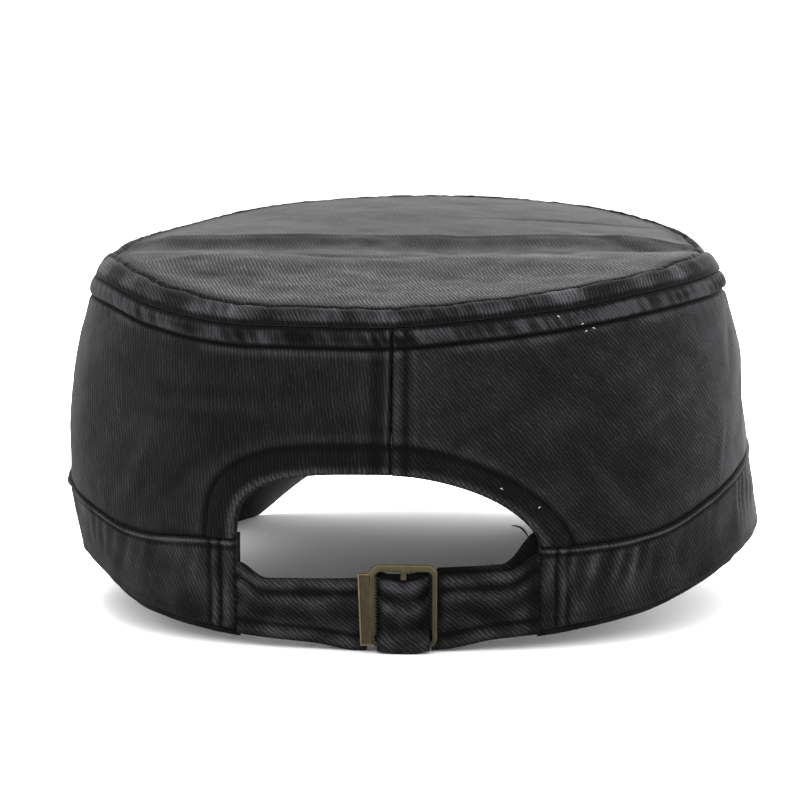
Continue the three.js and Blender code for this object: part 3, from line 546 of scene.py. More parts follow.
def washed_twill(name, slant, mean, darker=6.0, lighter=4.5, pitch=1.0, wales=0.42, streaks=0.34,
                 grain=0.36, blots=0.46, patches=0.36):
    """Twill whose wales fall to the right at slant degrees and lie a pitch apart.

    mean is the brightness at a wear and shade of a half. From there the ramp goes down by the factor
    darker and up by the factor lighter. The last five say how strong each unevenness is.
    """
    cloth = Recipe(name)
    place = cloth.node("ShaderNodeAttribute", {"attribute_name": "weave"}, [], "Vector")
    wear_and_shade = cloth.node("ShaderNodeAttribute", {"attribute_name": "wear_and_shade"}, [], "Fac")
    parts = cloth.node("ShaderNodeSeparateXYZ", {}, [place]).socket.node
    u, v, show = (Value(cloth, parts.outputs[k]) for k in range(3))
    flat = cloth.node("ShaderNodeCombineXYZ", {}, [u, v])
    sine, cosine = math.sin(math.radians(slant)), math.cos(math.radians(slant))
    drift = cloth.noise(flat, 17, 2) * 1.4 + cloth.noise(flat, 2.4, 2) * 1.1
    across = (u * sine + v * cosine) / pitch + drift
    along = (u * cosine - v * sine) / pitch
    wale = (across * math.tau).sine() * 0.5 + 0.5
    knot = ((along + across.whole() * 0.37) * math.tau).sine() * 0.5 + 0.5
    streak = cloth.noise(cloth.node("ShaderNodeCombineXYZ", {}, [across * 0.7, along * 0.26]), 1.0, 3, 0.7)
    broken = (streak * 2.8 - 0.9).clamp()
    speck = cloth.noise(flat, 0.6, 3, 0.7)
    blot = cloth.noise(flat, 13, 4, 0.62)
    patch = cloth.noise(flat, 44, 2, 0.5)
    faded = (wear_and_shade + (wale - 0.5) * show * wales * (0.2 + 1.3 * broken) + (streak - 0.5) * streaks
             + (speck - 0.5) * grain + (blot - 0.5) * blots + (patch - 0.5) * patches)
    steps = (0.0, 0.125, 0.25, 0.375, 0.5, 0.65, 0.8, 1.0)
    levels = [mean * (darker if t < 0.5 else lighter) ** (2 * t - 1) for t in steps]
    stops = [(t, [c * level for c in CLOTH_TINT]) for t, level in zip(steps, levels)]
    cloth.set(Base_Color=cloth.ramp(faded.clamp(), stops), Roughness=0.95, Sheen_Weight=0.02,
              Sheen_Roughness=0.5, Specular_IOR_Level=0.06)
    cloth.bump(wale * show * (0.6 + 0.3 * knot) + speck * 0.4, 0.0002, 0.7)
    return cloth.material


# The top's twill is paler than the walls': partly a paler fade and partly painted light, standing in for
# more light falling on the top.
TWILL_TOP_FADED_AND_LIT = washed_twill("twill_top", 73, 0.0185, 9.0, 3.4, wales=0.8, streaks=0.3, grain=0.34,
                         blots=0.34, patches=0.2)
TWILL_LEFT = washed_twill("twill_left", 80, 0.0058)
TWILL_RIGHT = washed_twill("twill_right", 48, 0.007, blots=0.55)
TWILL_BAND = washed_twill("twill_band", 62, 0.008, patches=0.5)
TWILL_STRAP = washed_twill("twill_strap", 38, 0.008, blots=0.6)
TAPE = washed_twill("cotton_tape", 90, 0.0036, pitch=0.6, wales=0.2)
print("twill recipes: 6")

# %% [markdown]
# Antique brass and thread
#
# The buckle is brass that was darkened and then polished off its edges. The stored wear
# says where an edge is: the metal there is a dull olive gold, and elsewhere a brown
# film lies over it, so it is also rougher. The sewing thread is a plain dull black
# cotton with its own twist.

# %% Brass and thread recipes
def antique_brass(name, film, gold):
    """Brass from a dark film to bare polished metal, with fine scratches in its bump."""
    metal = Recipe(name)
    place = metal.node("ShaderNodeTexCoord", {}, [], "Object")
    wear_and_shade = metal.node("ShaderNodeAttribute", {"attribute_name": "wear_and_shade"}, [], "Fac")
    cloud = metal.noise(place, 0.0022, 3, 0.6)
    grain = metal.noise(place, 0.0003, 2, 0.6)
    bare = (wear_and_shade + (cloud - 0.5) * 0.5 + (grain - 0.5) * 0.25).clamp()
    half = [math.sqrt(a * b) for a, b in zip(film, gold)]
    metal.set(Base_Color=metal.ramp(bare, [(0.1, film), (0.5, half), (1.0, gold)]),
              Metallic=(0.5 + 0.4 * bare).clamp(),
              Roughness=(0.55 - 0.18 * bare + (cloud - 0.5) * 0.2).clamp(), Specular_IOR_Level=0.3)
    metal.bump(cloud * 0.6 + grain * 0.4, 0.00008, 0.5)
    return metal.material


def cotton_thread(name, colour):
    """Dull spun thread with a slight mottle."""
    thread = Recipe(name)
    place = thread.node("ShaderNodeTexCoord", {}, [], "Object")
    mottle = thread.noise(place, 0.0006, 2, 0.6)
    stops = [(at, [share * c for c in colour]) for at, share in ((0.25, 0.6), (0.75, 1.3))]
    thread.set(Base_Color=thread.ramp(mottle, stops), Roughness=0.9, Specular_IOR_Level=0.05)
    thread.bump(mottle, 0.0001, 0.5)
    return thread.material


BRASS = antique_brass("antique_brass", (0.014, 0.0125, 0.006), (0.13, 0.11, 0.045))
BRASS_PLATE = antique_brass("antique_brass_plate", (0.02, 0.0145, 0.0075), (0.15, 0.125, 0.055))
THREAD = cotton_thread("sewing_thread", (0.0028, 0.0028, 0.0034))
LINT = cotton_thread("lint", (0.3, 0.31, 0.33))
print("brass, thread and lint recipes made")

# %% [markdown]
# The arch of the back opening
#
# The opening is a half oval cut out of the wall. It stands steep on the left and slopes
# away on the right, so each half is its own superellipse. Grown outwards by a margin it
# also gives the line where the facing is stitched down. Turned round, the same formula
# says how far any place on the wall lies outside the arch, which the dark ditch beside
# the facing needs.

# %% Arch outline
ARCH_SAMPLES = 4000
FINE_CELL = 0.35
HALVINGS = 18
WIDEST_MARGIN = 120.0


def arch(turn, margin):
    """Angle and height above the band's seam along the arch, from turn 0 at the left foot to 180."""
    left = turn < 90
    square = np.where(left, ARCH_SQUARENESS_LEFT, ARCH_SQUARENESS_RIGHT)
    across = np.abs(np.cos(np.radians(turn))) ** (2 / square) * np.where(left, -1, 1)
    rise = np.abs(np.sin(np.radians(turn))) ** (2 / square)
    x = OPENING_SHIFT + across * (OPENING_WIDTH / 2 + margin)
    return np.degrees(np.arcsin(x / head_radius(0))), rise * (ARCH_RISE + margin)


def arch_margin(angle, above):
    """How far a place on the wall lies outside the arch, found by halving an interval of margins."""
    x = head_radius(0) * np.sin(np.radians(np.clip(wrapped(angle), -89, 89))) - OPENING_SHIFT
    square = np.where(x < 0, ARCH_SQUARENESS_LEFT, ARCH_SQUARENESS_RIGHT)
    low, high = np.full(x.shape, -3.0), np.full(x.shape, WIDEST_MARGIN)
    for _ in range(HALVINGS):
        middle = (low + high) / 2
        reach = (np.abs(x) / (OPENING_WIDTH / 2 + middle)) ** square
        outside = reach + (np.maximum(above, 0) / (ARCH_RISE + middle)) ** square > 1
        low, high = np.where(outside, middle, low), np.where(outside, high, middle)
    return middle


def arch_foot(side, margin):
    """Angle of the arch's foot on the left, at side -1, or on the right, at 1."""
    return float(arch(np.array([0.0 if side < 0 else 180.0]), margin)[0][0])


def walked(angle, height):
    """Length along a line on the wall up to each of its points."""
    return np.concatenate([[0], np.cumsum(np.hypot(np.diff(cloth_u(angle)), np.diff(height)))])


def arch_line(margin, start, end, spacing, fine=0.0):
    """Angles and heights along the arch between two turns, closer over a fine stretch at its start."""
    angle, height = arch(np.linspace(start, end, ARCH_SAMPLES), margin)
    length = walked(angle, height)
    even = np.linspace(fine, length[-1], max(8, round((length[-1] - fine) / spacing)))
    even = np.concatenate([np.linspace(0, fine, round(fine / FINE_CELL) + 1)[:-1], even])
    return np.interp(even, length, angle), np.interp(even, length, height)


print("feet of the arch at", round(arch_foot(-1, 0), 1), "and", round(arch_foot(1, 0), 1), "degrees")

# %% [markdown]
# The crown's wall
#
# The wall is two side panels and a front panel. Its shape is a function of the angle
# round the head and of the share of the way up, from the headband's seam to the top
# edge. Big dents come from one table and long soft drags from another. Below the top
# edge runs a strip five millimetres wide, raised between two rows of stitches and
# gathered into small slanting puckers. A second function gives the tone that years of
# washing leave, dark in every ditch and pale on the ridges beside it, and paints light
# into it too: a painted sheen down the sides and painted shade low in the middle.

# %% Wall tables
WALL_FOLDS = (
    # angle, up, wide in degrees, tall as a share, out as a share of HEAD_WIDTH
    (-104, 0.3, 11, 0.3, 0.014),
    (-84, 0.12, 9, 0.2, -0.006),
    (-62, 0.42, 8, 0.5, 0.006),
    (-47, 0.38, 7, 0.3, -0.008),
    (-22, 0.5, 9, 0.2, -0.005),
    (34, 0.28, 12, 0.22, -0.008),
    (62, 0.6, 9, 0.4, 0.005),
    (84, 0.3, 10, 0.2, -0.007),
    (112, 0.5, 14, 0.4, 0.006),
    (150, 0.45, 14, 0.3, -0.006),
    (-146, 0.5, 12, 0.35, -0.005),
)
WALL_DRAGS = (
    # angle, height above the table, turn in degrees, half length, half width, out, all in mm
    (-30, 66, 2, 26, 2.2, -0.3),
    (-28, 59, -3, 24, 2.0, -0.25),
    (-34, 62, 0, 24, 2.4, 0.25),
    (-47, 44, 62, 16, 3.0, 0.5),
    (-36, 44, 40, 12, 2.4, -0.4),
    (20, 62, 28, 22, 3.0, -0.3),
    (26, 56, 30, 20, 3.0, 0.3),
    (36, 42, -52, 12, 2.4, 0.5),
    (62, 46, 80, 9, 1.4, 0.45),
    (78, 60, 70, 20, 4.0, 0.5),
    (70, 74, 60, 16, 3.0, -0.3),
)


# %% Wall surface
def wall_body(angle, up):
    """Radius of the wall before its fine relief: head oval to top oval, plus belly, dents and swellings."""
    radius = mix(head_radius(angle) * station("band_out", angle), top_radius(angle), up)
    radius = radius + station("belly", angle) * HEAD_WIDTH * np.sin(math.pi * up)
    folds = 0
    for where, high, wide, tall, out in WALL_FOLDS:
        folds = folds + out * HEAD_WIDTH * bell(wrapped(angle - where), wide) * bell(up - high, tall)
    return radius + folds * np.clip((1 - up) * 6, 0, 1) * np.clip(up * 8 + 0.4, 0, 1)


def fell_relief(u):
    """The doubled cloth right of the middle seam, its two ditches and the ridge left of the seam."""
    raised = 0.55 * step(u, -0.1, 0.5) * (1 - step(u, FELL_WIDTH - 0.6, FELL_WIDTH + 0.5))
    return raised + bells(u, (-0.6, 0, 0.45), (-0.3, 4.1, 0.8), (0.3, -1.3, 0.8), (-0.2, -4.2, 1.6))


def fell_tone(u):
    """Tone across the middle seam: pale and dark lines by turns, from left to right."""
    return bells(u, (0.1, -8.5, 2.0), (-0.2, -4.3, 1.9), (0.2, -1.3, 0.8), (-0.5, 0, 0.4),
                 (0.12, 1.6, 1.0), (-0.3, 4.1, 1.2), (0.16, 6.3, 0.9))


def seam_wander(u, seed):
    """How far a hand-guided seam strays from its line, in millimetres."""
    return 0.28 * ripple(u, 0 * u, 11, seed) + 0.12 * ripple(u, 0 * u, 3.5, seed + 1)


def wall_place(angle, up):
    """Distances round the head, below the top edge, above the band's seam and above the table."""
    below = (1 - up) * (wall_height(angle) + seam_wander(cloth_u(angle), 101))
    height = mix(seam_height(angle), edge_height(angle), up)
    return cloth_u(angle), below, up * wall_height(angle), height


def strip_puckers(u, below):
    """The slanting gathers of the stitched strip."""
    return puckers(u - 0.6 * below, 4.4, 11)


def wall_relief(angle, up):
    """Fine relief of the wall in millimetres: padded strip, puckers, seams, drags and wash ripples."""
    u, below, above, height = wall_place(angle, up)
    pad = padded(below, SEAM_STRIP)
    strip = 0.75 * np.sqrt(pad) - 0.8 * bell(below - SEAM_STRIP, 0.55)
    gathers = strip_puckers(u, below) * (0.34 * pad + 0.14 * bell(below - SEAM_STRIP - 1.8, 2.0))
    facing_ditch = -0.4 * bell(arch_margin(angle, above) - BINDING_WIDTH, 0.8)
    base = puckers(u, 7.5, 29) * 0.12 * bell(above - 2.5, 3.5) - 0.45 * bell(above, 0.6)
    drags = ridges(u, height, [(cloth_u(row[0]), *row[1:]) for row in WALL_DRAGS])
    wash = 0.1 * ripple(u, height, 17, 5, stretch=1.8) + 0.035 * ripple(u, height, 6, 6, stretch=1.4)
    return strip + gathers + fell_relief(u) + facing_ditch + base + drags + wash * np.clip(below / 3, 0, 1)


def wall_tone(angle, up):
    """Tone of the wall beyond what its relief says, as shares of the ramp, with a painted sheen at the
    sides and painted shade low in the back.
    """
    u, below, above, height = wall_place(angle, up)
    aside = np.abs(wrapped(angle))
    seams = bells(below, (-0.65, SEAM_STRIP, 0.6), (-0.6, 0, 0.6)) - 0.3 * bell(above, 0.5)
    rubbed = 0.5 + 0.8 * np.clip(ripple(u, 0 * u, 22, 15), -0.6, 1.4)
    fuzz = 0.4 * bell(below - 1.3, 0.7) * (0.4 + puckers(u, 2.1, 13)) * rubbed
    under = 0.22 * bell(below - SEAM_STRIP - 1.7, 1.1) * (1.4 - rubbed) * (1 - 0.5 * step(aside, 50, 80))
    strip = 0.42 * strip_puckers(u, below) + 0.26 * ripple(u, below, 13, 19, stretch=1.5)
    strip = strip * padded(below, SEAM_STRIP) + 0.08 * (below < SEAM_STRIP)
    corner = -0.38 * bell(wrapped(angle) - 70, 4.5) * (below < SEAM_STRIP)
    ditch = bells(arch_margin(angle, above) - BINDING_WIDTH, (-0.38, 0.2, 0.8), (0.12, 2.4, 1.2))
    # sides is a painted sheen: paler where the wall turns away at the left and right, darker again towards
    # the front.
    sides = 0.47 * step(aside, 38, 82) - 0.31 * step(aside, 88, 130)
    # Painted shade, darker low in the middle of the back.
    painted_low_shade = -0.08 * (1 - step(aside, 30, 50)) * (1 - step(height, 48, 66))
    return seams + fuzz + under + strip + corner + ditch + sides + painted_low_shade + fell_tone(u)


def wall_surface(angle, up):
    """Points of the wall's outer face."""
    height = mix(seam_height(angle), edge_height(angle), up)
    return polar(angle, wall_body(angle, up) + wall_relief(angle, up), height)


# %% [markdown]
# The three wall panels
#
# A side panel starts at the arch and goes on along the band's seam to the front seam.
# Each column of its grid joins a point of that lower outline to a point of the top
# edge, spread by how far along the outline it starts, so no two columns cross. The rows
# are close together in the stitched strip and wider below it, and the columns are close
# together beside the middle seam.

# %% Wall panels
LOW_ROWS = 56
STRIP_ROWS = 32


def wall_panel(node, foot_angle, foot_up, top_angle, material):
    """One panel of the wall from its lower outline to the top edge, as a closed wall."""
    strip_start = (1 - 1.5 * SEAM_STRIP / wall_height(top_angle))[:, None]
    foot_up = foot_up[:, None]
    ups = np.concatenate([mix(foot_up, strip_start, np.linspace(0, 1, LOW_ROWS)[None, :-1]),
                          mix(strip_start, 1.0, np.linspace(0, 1, STRIP_ROWS)[None])], 1)
    angle = mix(foot_angle[:, None], top_angle[:, None], (ups - foot_up) / (1 - foot_up))
    outer = wall_surface(angle, ups)
    inner = polar(angle, wall_body(angle, ups) - PANEL_THICK, outer[..., 2])
    wear_and_shade = worn_and_shaded(wall_relief(angle, ups), 4, 0.5, wall_tone(angle, ups))
    weave = weave_of(cloth_u(angle), outer[..., 2], 0.8)
    return dress(cloth_wall(node + "_cloth", outer, inner, weave, wear_and_shade), material, "twill", node)


def side_panel(side, material, node):
    """The panel left of the middle seam, at side -1, or right of it, at 1."""
    seam = math.degrees(SEAM_GAP / 2 / head_radius(0))
    front = side * (FRONT_SEAM_ANGLE - seam)
    arch_angle, arch_height = arch_line(BINDING_WIDTH, 90, 0 if side < 0 else 180, CLOTH_CELL, 12)
    clear = side * arch_angle > seam
    arch_angle = np.concatenate([[side * seam], arch_angle[clear]])
    arch_height = np.concatenate([arch_height[clear][:1], arch_height[clear]])
    count = int(abs(cloth_u(front - arch_angle[-1])) / CLOTH_CELL)
    angle = np.concatenate([arch_angle, np.linspace(arch_angle[-1], front, count)[1:]])
    height = np.concatenate([arch_height, np.zeros(count - 1)])
    length = walked(angle, height)
    top_angle = mix(side * seam, front, length / length[-1])
    return wall_panel(node, angle, height / wall_height(angle), top_angle, material)


side_panel(-1, TWILL_LEFT, "side_panel_left")
side_panel(1, TWILL_RIGHT, "side_panel_right")

front_gap = math.degrees(SEAM_GAP / 2 / head_radius(180))
front_angle = np.linspace(FRONT_SEAM_ANGLE + front_gap, 360 - FRONT_SEAM_ANGLE - front_gap,
                          int(cloth_u(360 - 2 * FRONT_SEAM_ANGLE) / CLOTH_CELL))
wall_panel("front_panel", front_angle, 0 * front_angle, front_angle, TWILL_RIGHT)

# %% [markdown]
# The facing round the arch
#
# A strip of cloth is turned round the raw edge of the opening and stitched down seven
# millimetres away. It is cut from the same cloth as the wall on each side, so it is two
# pieces that meet at the middle seam. Its folded edge is rubbed pale, and crossed by
# small ribs where the cloth is eased round the curve. Its inner face is a little wider
# than its outer one, so that it laps under the wall and no light comes through.

# %% Arch facing
FACING_ROWS = 26
FACING_COLUMNS = 190
INNER_LAP = 1.08


def facing_relief(along, margin, u):
    """Relief of the facing: a rolled edge, a soft swelling, ribs square to the edge and the middle seam."""
    swell = 0.4 * padded(margin, BINDING_WIDTH) ** 0.7
    ribs = puckers(along, 1.5, 41, 0.5) * 0.12 * (1 - step(margin, 1.2, 3.0))
    ditch = puckers(along, 7.0, 43) * 0.1 - 0.4 * bell(margin - BINDING_WIDTH, 0.8)
    return rolled(margin, 0.8) + swell + ribs + ditch + fell_relief(u)


def facing_half(side, name, material):
    """The facing from its foot on one side up to the middle seam."""
    margins = np.linspace(0, BINDING_WIDTH - 0.03, FACING_ROWS)[None]
    across = -OPENING_SHIFT / (OPENING_WIDTH / 2 + margins)
    seam_turn = 90 + np.degrees(np.arcsin(across ** (ARCH_SQUARENESS_RIGHT / 2))) + side * 0.06
    foot_turn = 0.0 if side < 0 else 180.0
    length = walked(*arch(np.linspace(foot_turn, 90, ARCH_SAMPLES), 0))
    even = np.linspace(0, length[-1], FACING_COLUMNS)[:, None]
    turn = mix(foot_turn, seam_turn, np.interp(even, length, np.linspace(0, 1, ARCH_SAMPLES)))
    angle, height = arch(turn, margins)
    z = seam_height(angle) + height
    u = cloth_u(angle)
    relief = facing_relief(even, margins, u)
    body = wall_body(angle, height / wall_height(angle))
    rub = 0.7 * bell(margins - 0.9, 0.9) * (0.55 + 0.7 * puckers(even, 1.5, 41, 0.5))
    rub = rub * (0.45 + 0.55 * step(-u, 8, 30)) - 0.28 * step(margins, 1.6, 3)
    tone = rub + fell_tone(u) - 0.3 * bell(margins - BINDING_WIDTH, 1.0)
    lap_angle, lap_height = arch(turn, margins * INNER_LAP)
    outer = polar(angle, body + relief, z)
    inner = polar(lap_angle, body - PANEL_THICK - 0.1, seam_height(lap_angle) + lap_height)
    piece = cloth_wall(name, outer, inner, weave_of(u, z, 0.9), worn_and_shaded(relief, 3, 0.4, tone))
    return dress(piece, material, "twill_binding", *(["arch_binding"] if side < 0 else []))


facing_half(-1, "arch_facing_left", TWILL_LEFT)
facing_half(1, "arch_facing_right", TWILL_RIGHT)

# %% [markdown]
# The top panel
#
# The top is one flat piece of cloth, sewn to the wall with a sloping ring just inside
# its edge. It lies on a slope that rises to the front, with a low dome, and one sharp
# crease runs across it from left to right with softer ones in front of it.

# %% Top surface
TOP_CREASES = (
    # along as a share of half the depth, bend, wide and high as shares of the depth
    (0.05, 0.0, 0.035, 0.007),
    (-0.06, 0.04, 0.06, -0.009),
    (-0.34, 0.1, 0.06, 0.005),
    (-0.56, 0.05, 0.05, -0.004),
)
TOP_WRINKLES = (
    # x, y, turn in degrees, half length, half width and height in mm
    (-38, -14, -12, 22, 2.6, 0.5),
    (-16, -22, -6, 20, 2.4, -0.45),
    (-2, -16, -14, 16, 2.2, 0.5),
    (14, -26, -10, 18, 2.6, 0.4),
    (60, 6, -32, 16, 3.0, 0.6),
    (66, -4, -36, 14, 2.6, -0.5),
    (42, 34, -6, 22, 1.4, -0.4),
    (-56, -30, 22, 16, 2.4, 0.35),
)


def top_height(angle, share):
    """Height of the top panel's underside.

    It is a tilted plane that meets the top edge, a dome, creases, and a ring that climbs
    by a quarter sine from the edge.
    """
    radius = top_radius(angle) * share
    x, y = radius * np.sin(np.radians(angle)), -radius * np.cos(np.radians(angle))
    slope = (FRONT_HEIGHT - BACK_HEIGHT) / TOP_DEPTH
    middle = (BACK_HEIGHT + FRONT_HEIGHT) / 2
    rim_y = -top_radius(angle) * np.cos(np.radians(angle))
    z = middle + slope * y + (edge_height(angle) - middle - slope * rim_y) * share**3
    z = z + TOP_DOME * (1 - share**4)
    for along, bend, wide, high in TOP_CREASES:
        line = along * TOP_DEPTH / 2 - bend * np.maximum(0, x)
        z = z + high * TOP_DEPTH * bell(y - line, wide * TOP_DEPTH) * np.clip((1 - share) * 5, 0, 1)
    inward = np.clip((1 - share) * TOP_WIDTH / 2 / TOP_RING, 0, 1)
    rise = mix(RING_RISE, RING_RISE_BACK, bell(wrapped(angle), 60))
    rise = mix((RING_RISE + RING_RISE_BACK) / 2, rise, step(share, 0, 0.8))
    return z + rise * np.sin(math.pi / 2 * inward)


def top_place(angle, share):
    """x and y on the top, then the distance inside its edge, with the seam's wander, and round it."""
    radius = top_radius(angle) * share
    inward, along = (1 - share) * TOP_WIDTH / 2, np.radians(angle) * TOP_WIDTH / 2
    inward = inward + seam_wander(along, 105) * step(inward, 1.5, 4)
    return radius * np.sin(np.radians(angle)), -radius * np.cos(np.radians(angle)), inward, along


def past_crease(x, y):
    """How far a place lies in front of the sharp crease, which bends back on the right."""
    return y - 7 + 0.05 * np.maximum(0, x - 30)


def ring_puckers(along, inward):
    """The slanting gathers of the ring."""
    return puckers(along + 0.6 * inward, 5.2, 17)


def top_relief(angle, share):
    """Fine relief of the top: the padded ring and its ditch, puckers, wrinkles and wash ripples."""
    x, y, inward, along = top_place(angle, share)
    pad = padded(inward, TOP_RING)
    ring = 0.35 * np.sqrt(pad) + rolled(inward, 0.5) - 1.1 * bell(inward - TOP_RING - 0.3, 0.9)
    gathers = ring_puckers(along, inward) * (0.16 * pad + 0.12 * bell(inward - TOP_RING - 2.2, 2.6))
    crease = 0.5 * bell(past_crease(x, y), 1.2) * step(1 - share, 0.05, 0.2)
    wash = 0.2 * ripple(x, y, 24, 3, stretch=1.6) + 0.08 * ripple(x, y, 9, 4, stretch=1.3)
    soft = wash * (1 - 0.5 * step(y, 0, 20)) + ridges(x, y, TOP_WRINKLES)
    return ring + gathers + crease + soft * (1 - step(share, 0.8, 0.94))


def top_tone(angle, share):
    """Tone of the top: dark seam lines and ring, painted shade in a band before the crease with a painted
    highlight on it, and a far side painted paler as if lit from beyond.
    """
    x, y, inward, along = top_place(angle, share)
    beyond = past_crease(x, y)
    seams = bells(inward, (-0.8, TOP_RING + 1.2, 2.6), (-0.6, 0, 0.4), (-0.12, TOP_RING + 1.8, 1.6))
    ring = -0.02 + 0.2 * ripple(along, inward, 12, 109, stretch=1.5)
    ring = ring * (1 - step(inward, TOP_RING - 0.6, TOP_RING))
    patch = -0.36 * bell(wrapped(angle) - 66, 5) * (inward < TOP_RING)
    pucker = 0.24 * ring_puckers(along, inward) * padded(inward, TOP_RING)
    # band paints light on the crease: painted shade just before it on the left and a painted highlight
    # along it. The last term of the return paints the far side paler.
    band = -0.16 * bell(beyond + 4, 3.2) * step(-x, -45, 0) + 0.1 * bell(beyond - 0.5, 1.2)
    mottle = 0.05 * ripple(x, y, 15, 111, stretch=2) + 0.04 * ripple(x, y, 6, 113, stretch=1.5)
    mottle = mottle * (1 - 0.8 * step(y, -10, 20))
    return seams + ring + patch + pucker + mottle + (band + 0.08 * step(beyond, 0, 3)) * step(inward, 8, 16)


def top_surface(angle, share):
    """Points of the top panel's upper face."""
    inward = (1 - share) * TOP_WIDTH / 2
    thick = mix(RIM_THICK, TOP_THICK, np.clip(inward / (0.5 * TOP_RING), 0, 1))
    height = top_height(angle, share) + SEAM_GAP + thick + top_relief(angle, share)
    return polar(angle, top_radius(angle) * share, height)


# %% Top panel
UNDERSIDE_WEAR = 0.5


def disc(name, upper, lower, weave, wear_and_shade):
    """A closed disc from an upper and a lower grid, each spokes by rings, with a point in each middle."""
    spokes, rings = upper.shape[:2]
    top = np.arange(spokes * rings).reshape(spokes, rings)
    under = np.arange(spokes * lower.shape[1]).reshape(spokes, -1) + spokes * rings
    top, under = np.concatenate([top, top[:1]]), np.concatenate([under, under[:1]])
    points = np.concatenate([upper.reshape(-1, 3), lower.reshape(-1, 3),
                             upper[:, 0].mean(0)[None], lower[:, 0].mean(0)[None]])
    poles = len(points) - 2
    rim = quads(np.stack([top[:, -1], under[:, -1]], 1))
    cells = np.concatenate([quads(top)[:, ::-1], quads(under), rim[:, ::-1]])
    fan = np.concatenate([np.stack([top[:-1, 0], top[1:, 0], np.full(spokes, poles)], 1),
                          np.stack([under[1:, 0], under[:-1, 0], np.full(spokes, poles + 1)], 1)])
    if not np.array_equal(outward(points, cells), cells):
        cells, fan = cells[:, ::-1], fan[:, ::-1]
    flat = points * [1, 1, 0]
    flat[:spokes * rings] = weave.reshape(-1, 3)
    both = np.full(len(points), UNDERSIDE_WEAR)
    both[:wear_and_shade.size] = wear_and_shade.ravel()
    return make_piece(name, points, [cells, fan], flat, both)


SPOKES = 600
SEAMWARD = 0.88
RING_FALL = 0.35
RING_LEAN = 0.3
spoke_angle = np.linspace(0, 360, SPOKES, endpoint=False)[:, None]
ring_share = np.concatenate([np.linspace(0.012, SEAMWARD, 66)[:-1], np.linspace(SEAMWARD, 1, 42)])[None]
under_share = np.linspace(0.02, 1, 12)[None]
upper = top_surface(spoke_angle, ring_share)
lower = polar(spoke_angle, top_radius(spoke_angle) * under_share,
              top_height(spoke_angle, under_share) + SEAM_GAP)
from_edge = (1 - ring_share) * TOP_WIDTH / 2
in_ring = np.maximum(0, TOP_RING - from_edge)
fall = 1 + in_ring * RING_FALL / top_radius(spoke_angle)
wales_show = 0.22 + 0.78 * (1 - step(upper[..., 1], -66, 0))
wales_show = wales_show * mix(0.5, 1, step(from_edge, TOP_RING - 1, TOP_RING + 1))
weave = weave_of(upper[..., 0] * fall - RING_LEAN * in_ring, upper[..., 1] * fall, wales_show)
wear_and_shade = worn_and_shaded(top_relief(spoke_angle, ring_share), 4, 0.4, top_tone(spoke_angle, ring_share))
dress(disc("crown_top_cloth", upper, lower, weave, wear_and_shade), TWILL_TOP_FADED_AND_LIT, "twill_top", "crown_top")

# %% [markdown]
# The headband
#
# The band is a doubled strip sewn to the crown's lower edge. Its seam rolls up into a
# thin pale piping, and below it the cloth is drawn into upright gathers. Each end is
# folded under and stitched twice beside the back opening.

# %% Headband
band_left, band_right = 360 + arch_foot(-1, 0), arch_foot(1, 0)


def band_radius(angle, up):
    """Radius of the band's outer face between the rim and the seam, without its relief."""
    return head_radius(angle) * mix(station("rim_out", angle), station("band_out", angle), up)


def band_place(angle, up):
    """Distances round the head, down from the band's seam and in from the nearer end of the band."""
    u = cloth_u(angle)
    return u, (1 - up) * BAND_WIDTH, np.minimum(u - cloth_u(band_right), cloth_u(band_left) - u)


def band_gathers(u, down):
    """Upright gathers that start below the piping and fade out towards the lower edge."""
    return puckers(u + 0.2 * down, 6.2, 61) * step(down, 1.5, 4) * (1 - step(down, 8, 19))


def band_relief(angle, up):
    """Fine relief of the band: piping, gathers, end folds and its rolled lower edge."""
    u, down, from_end = band_place(angle, up)
    piping = bells(down, (0.7, 1.0, 0.6), (-0.4, 2.4, 0.6))
    gathers = 0.34 * band_gathers(u, down) + 0.3 * puckers(u, 19, 63) * step(down, 3, 9)
    ends = bells(from_end, (-0.5, 4.1, 0.6), (-0.45, 7.3, 0.8), (0.35, 2.0, 1.2), (0.3, 5.6, 0.8))
    low = rolled(up * BAND_WIDTH, 0.8) - 0.2 * bell(up * BAND_WIDTH - 2.6, 0.6)
    wash = 0.12 * ripple(u, down, 12, 64, stretch=1.2)
    return piping + gathers + ends + rolled(from_end, 0.6) + low + wash


def band_tone(angle, up):
    """Tone of the band: a pale piping under a dark line, dark end ditches and pale ridges between them,
    with a painted sheen at the sides and painted shade towards the lower edge.
    """
    u, down, from_end = band_place(angle, up)
    aside = np.abs(wrapped(angle))
    piping = 0.5 * bell(down - 1.0, 0.45) * (0.7 + 0.6 * puckers(u, 2.3, 67))
    seam = bells(down, (-0.5, 0, 0.4), (-0.22, 2.1, 0.7)) - 0.2 * bell(up * BAND_WIDTH, 0.6)
    left = step(from_end, 0, 0.1) * (u > cloth_u(180))
    ends = bells(from_end, (-0.36, 4.1, 0.55), (-0.3, 7.3, 0.9), (0.08, 5.6, 0.8))
    ends = ends * (0.6 + 0.4 * left) + (0.2 * left - 0.04) * bell(from_end - 2.0, 1.1)
    gathers = 0.2 * (1 - 0.6 * step(aside, 90, 140)) * band_gathers(u, down)
    # sides is a painted sheen, paler where the band turns away at the sides, plus random tone.
    sides = 0.2 * step(aside, 50, 85) + 0.09 * ripple(u, down, 16, 69, stretch=0.8)
    # The last term is painted shade, darker towards the lower edge.
    return piping + seam + ends + gathers + sides - 0.06 * step(down, 12, 22)


def band_surface(angle, up):
    """Points of the band's outer face."""
    height = mix(rim_height(angle) + SWEATBAND_SHOWS, seam_height(angle) - SEAM_GAP, up)
    return polar(angle, band_radius(angle, up) + band_relief(angle, up), height)


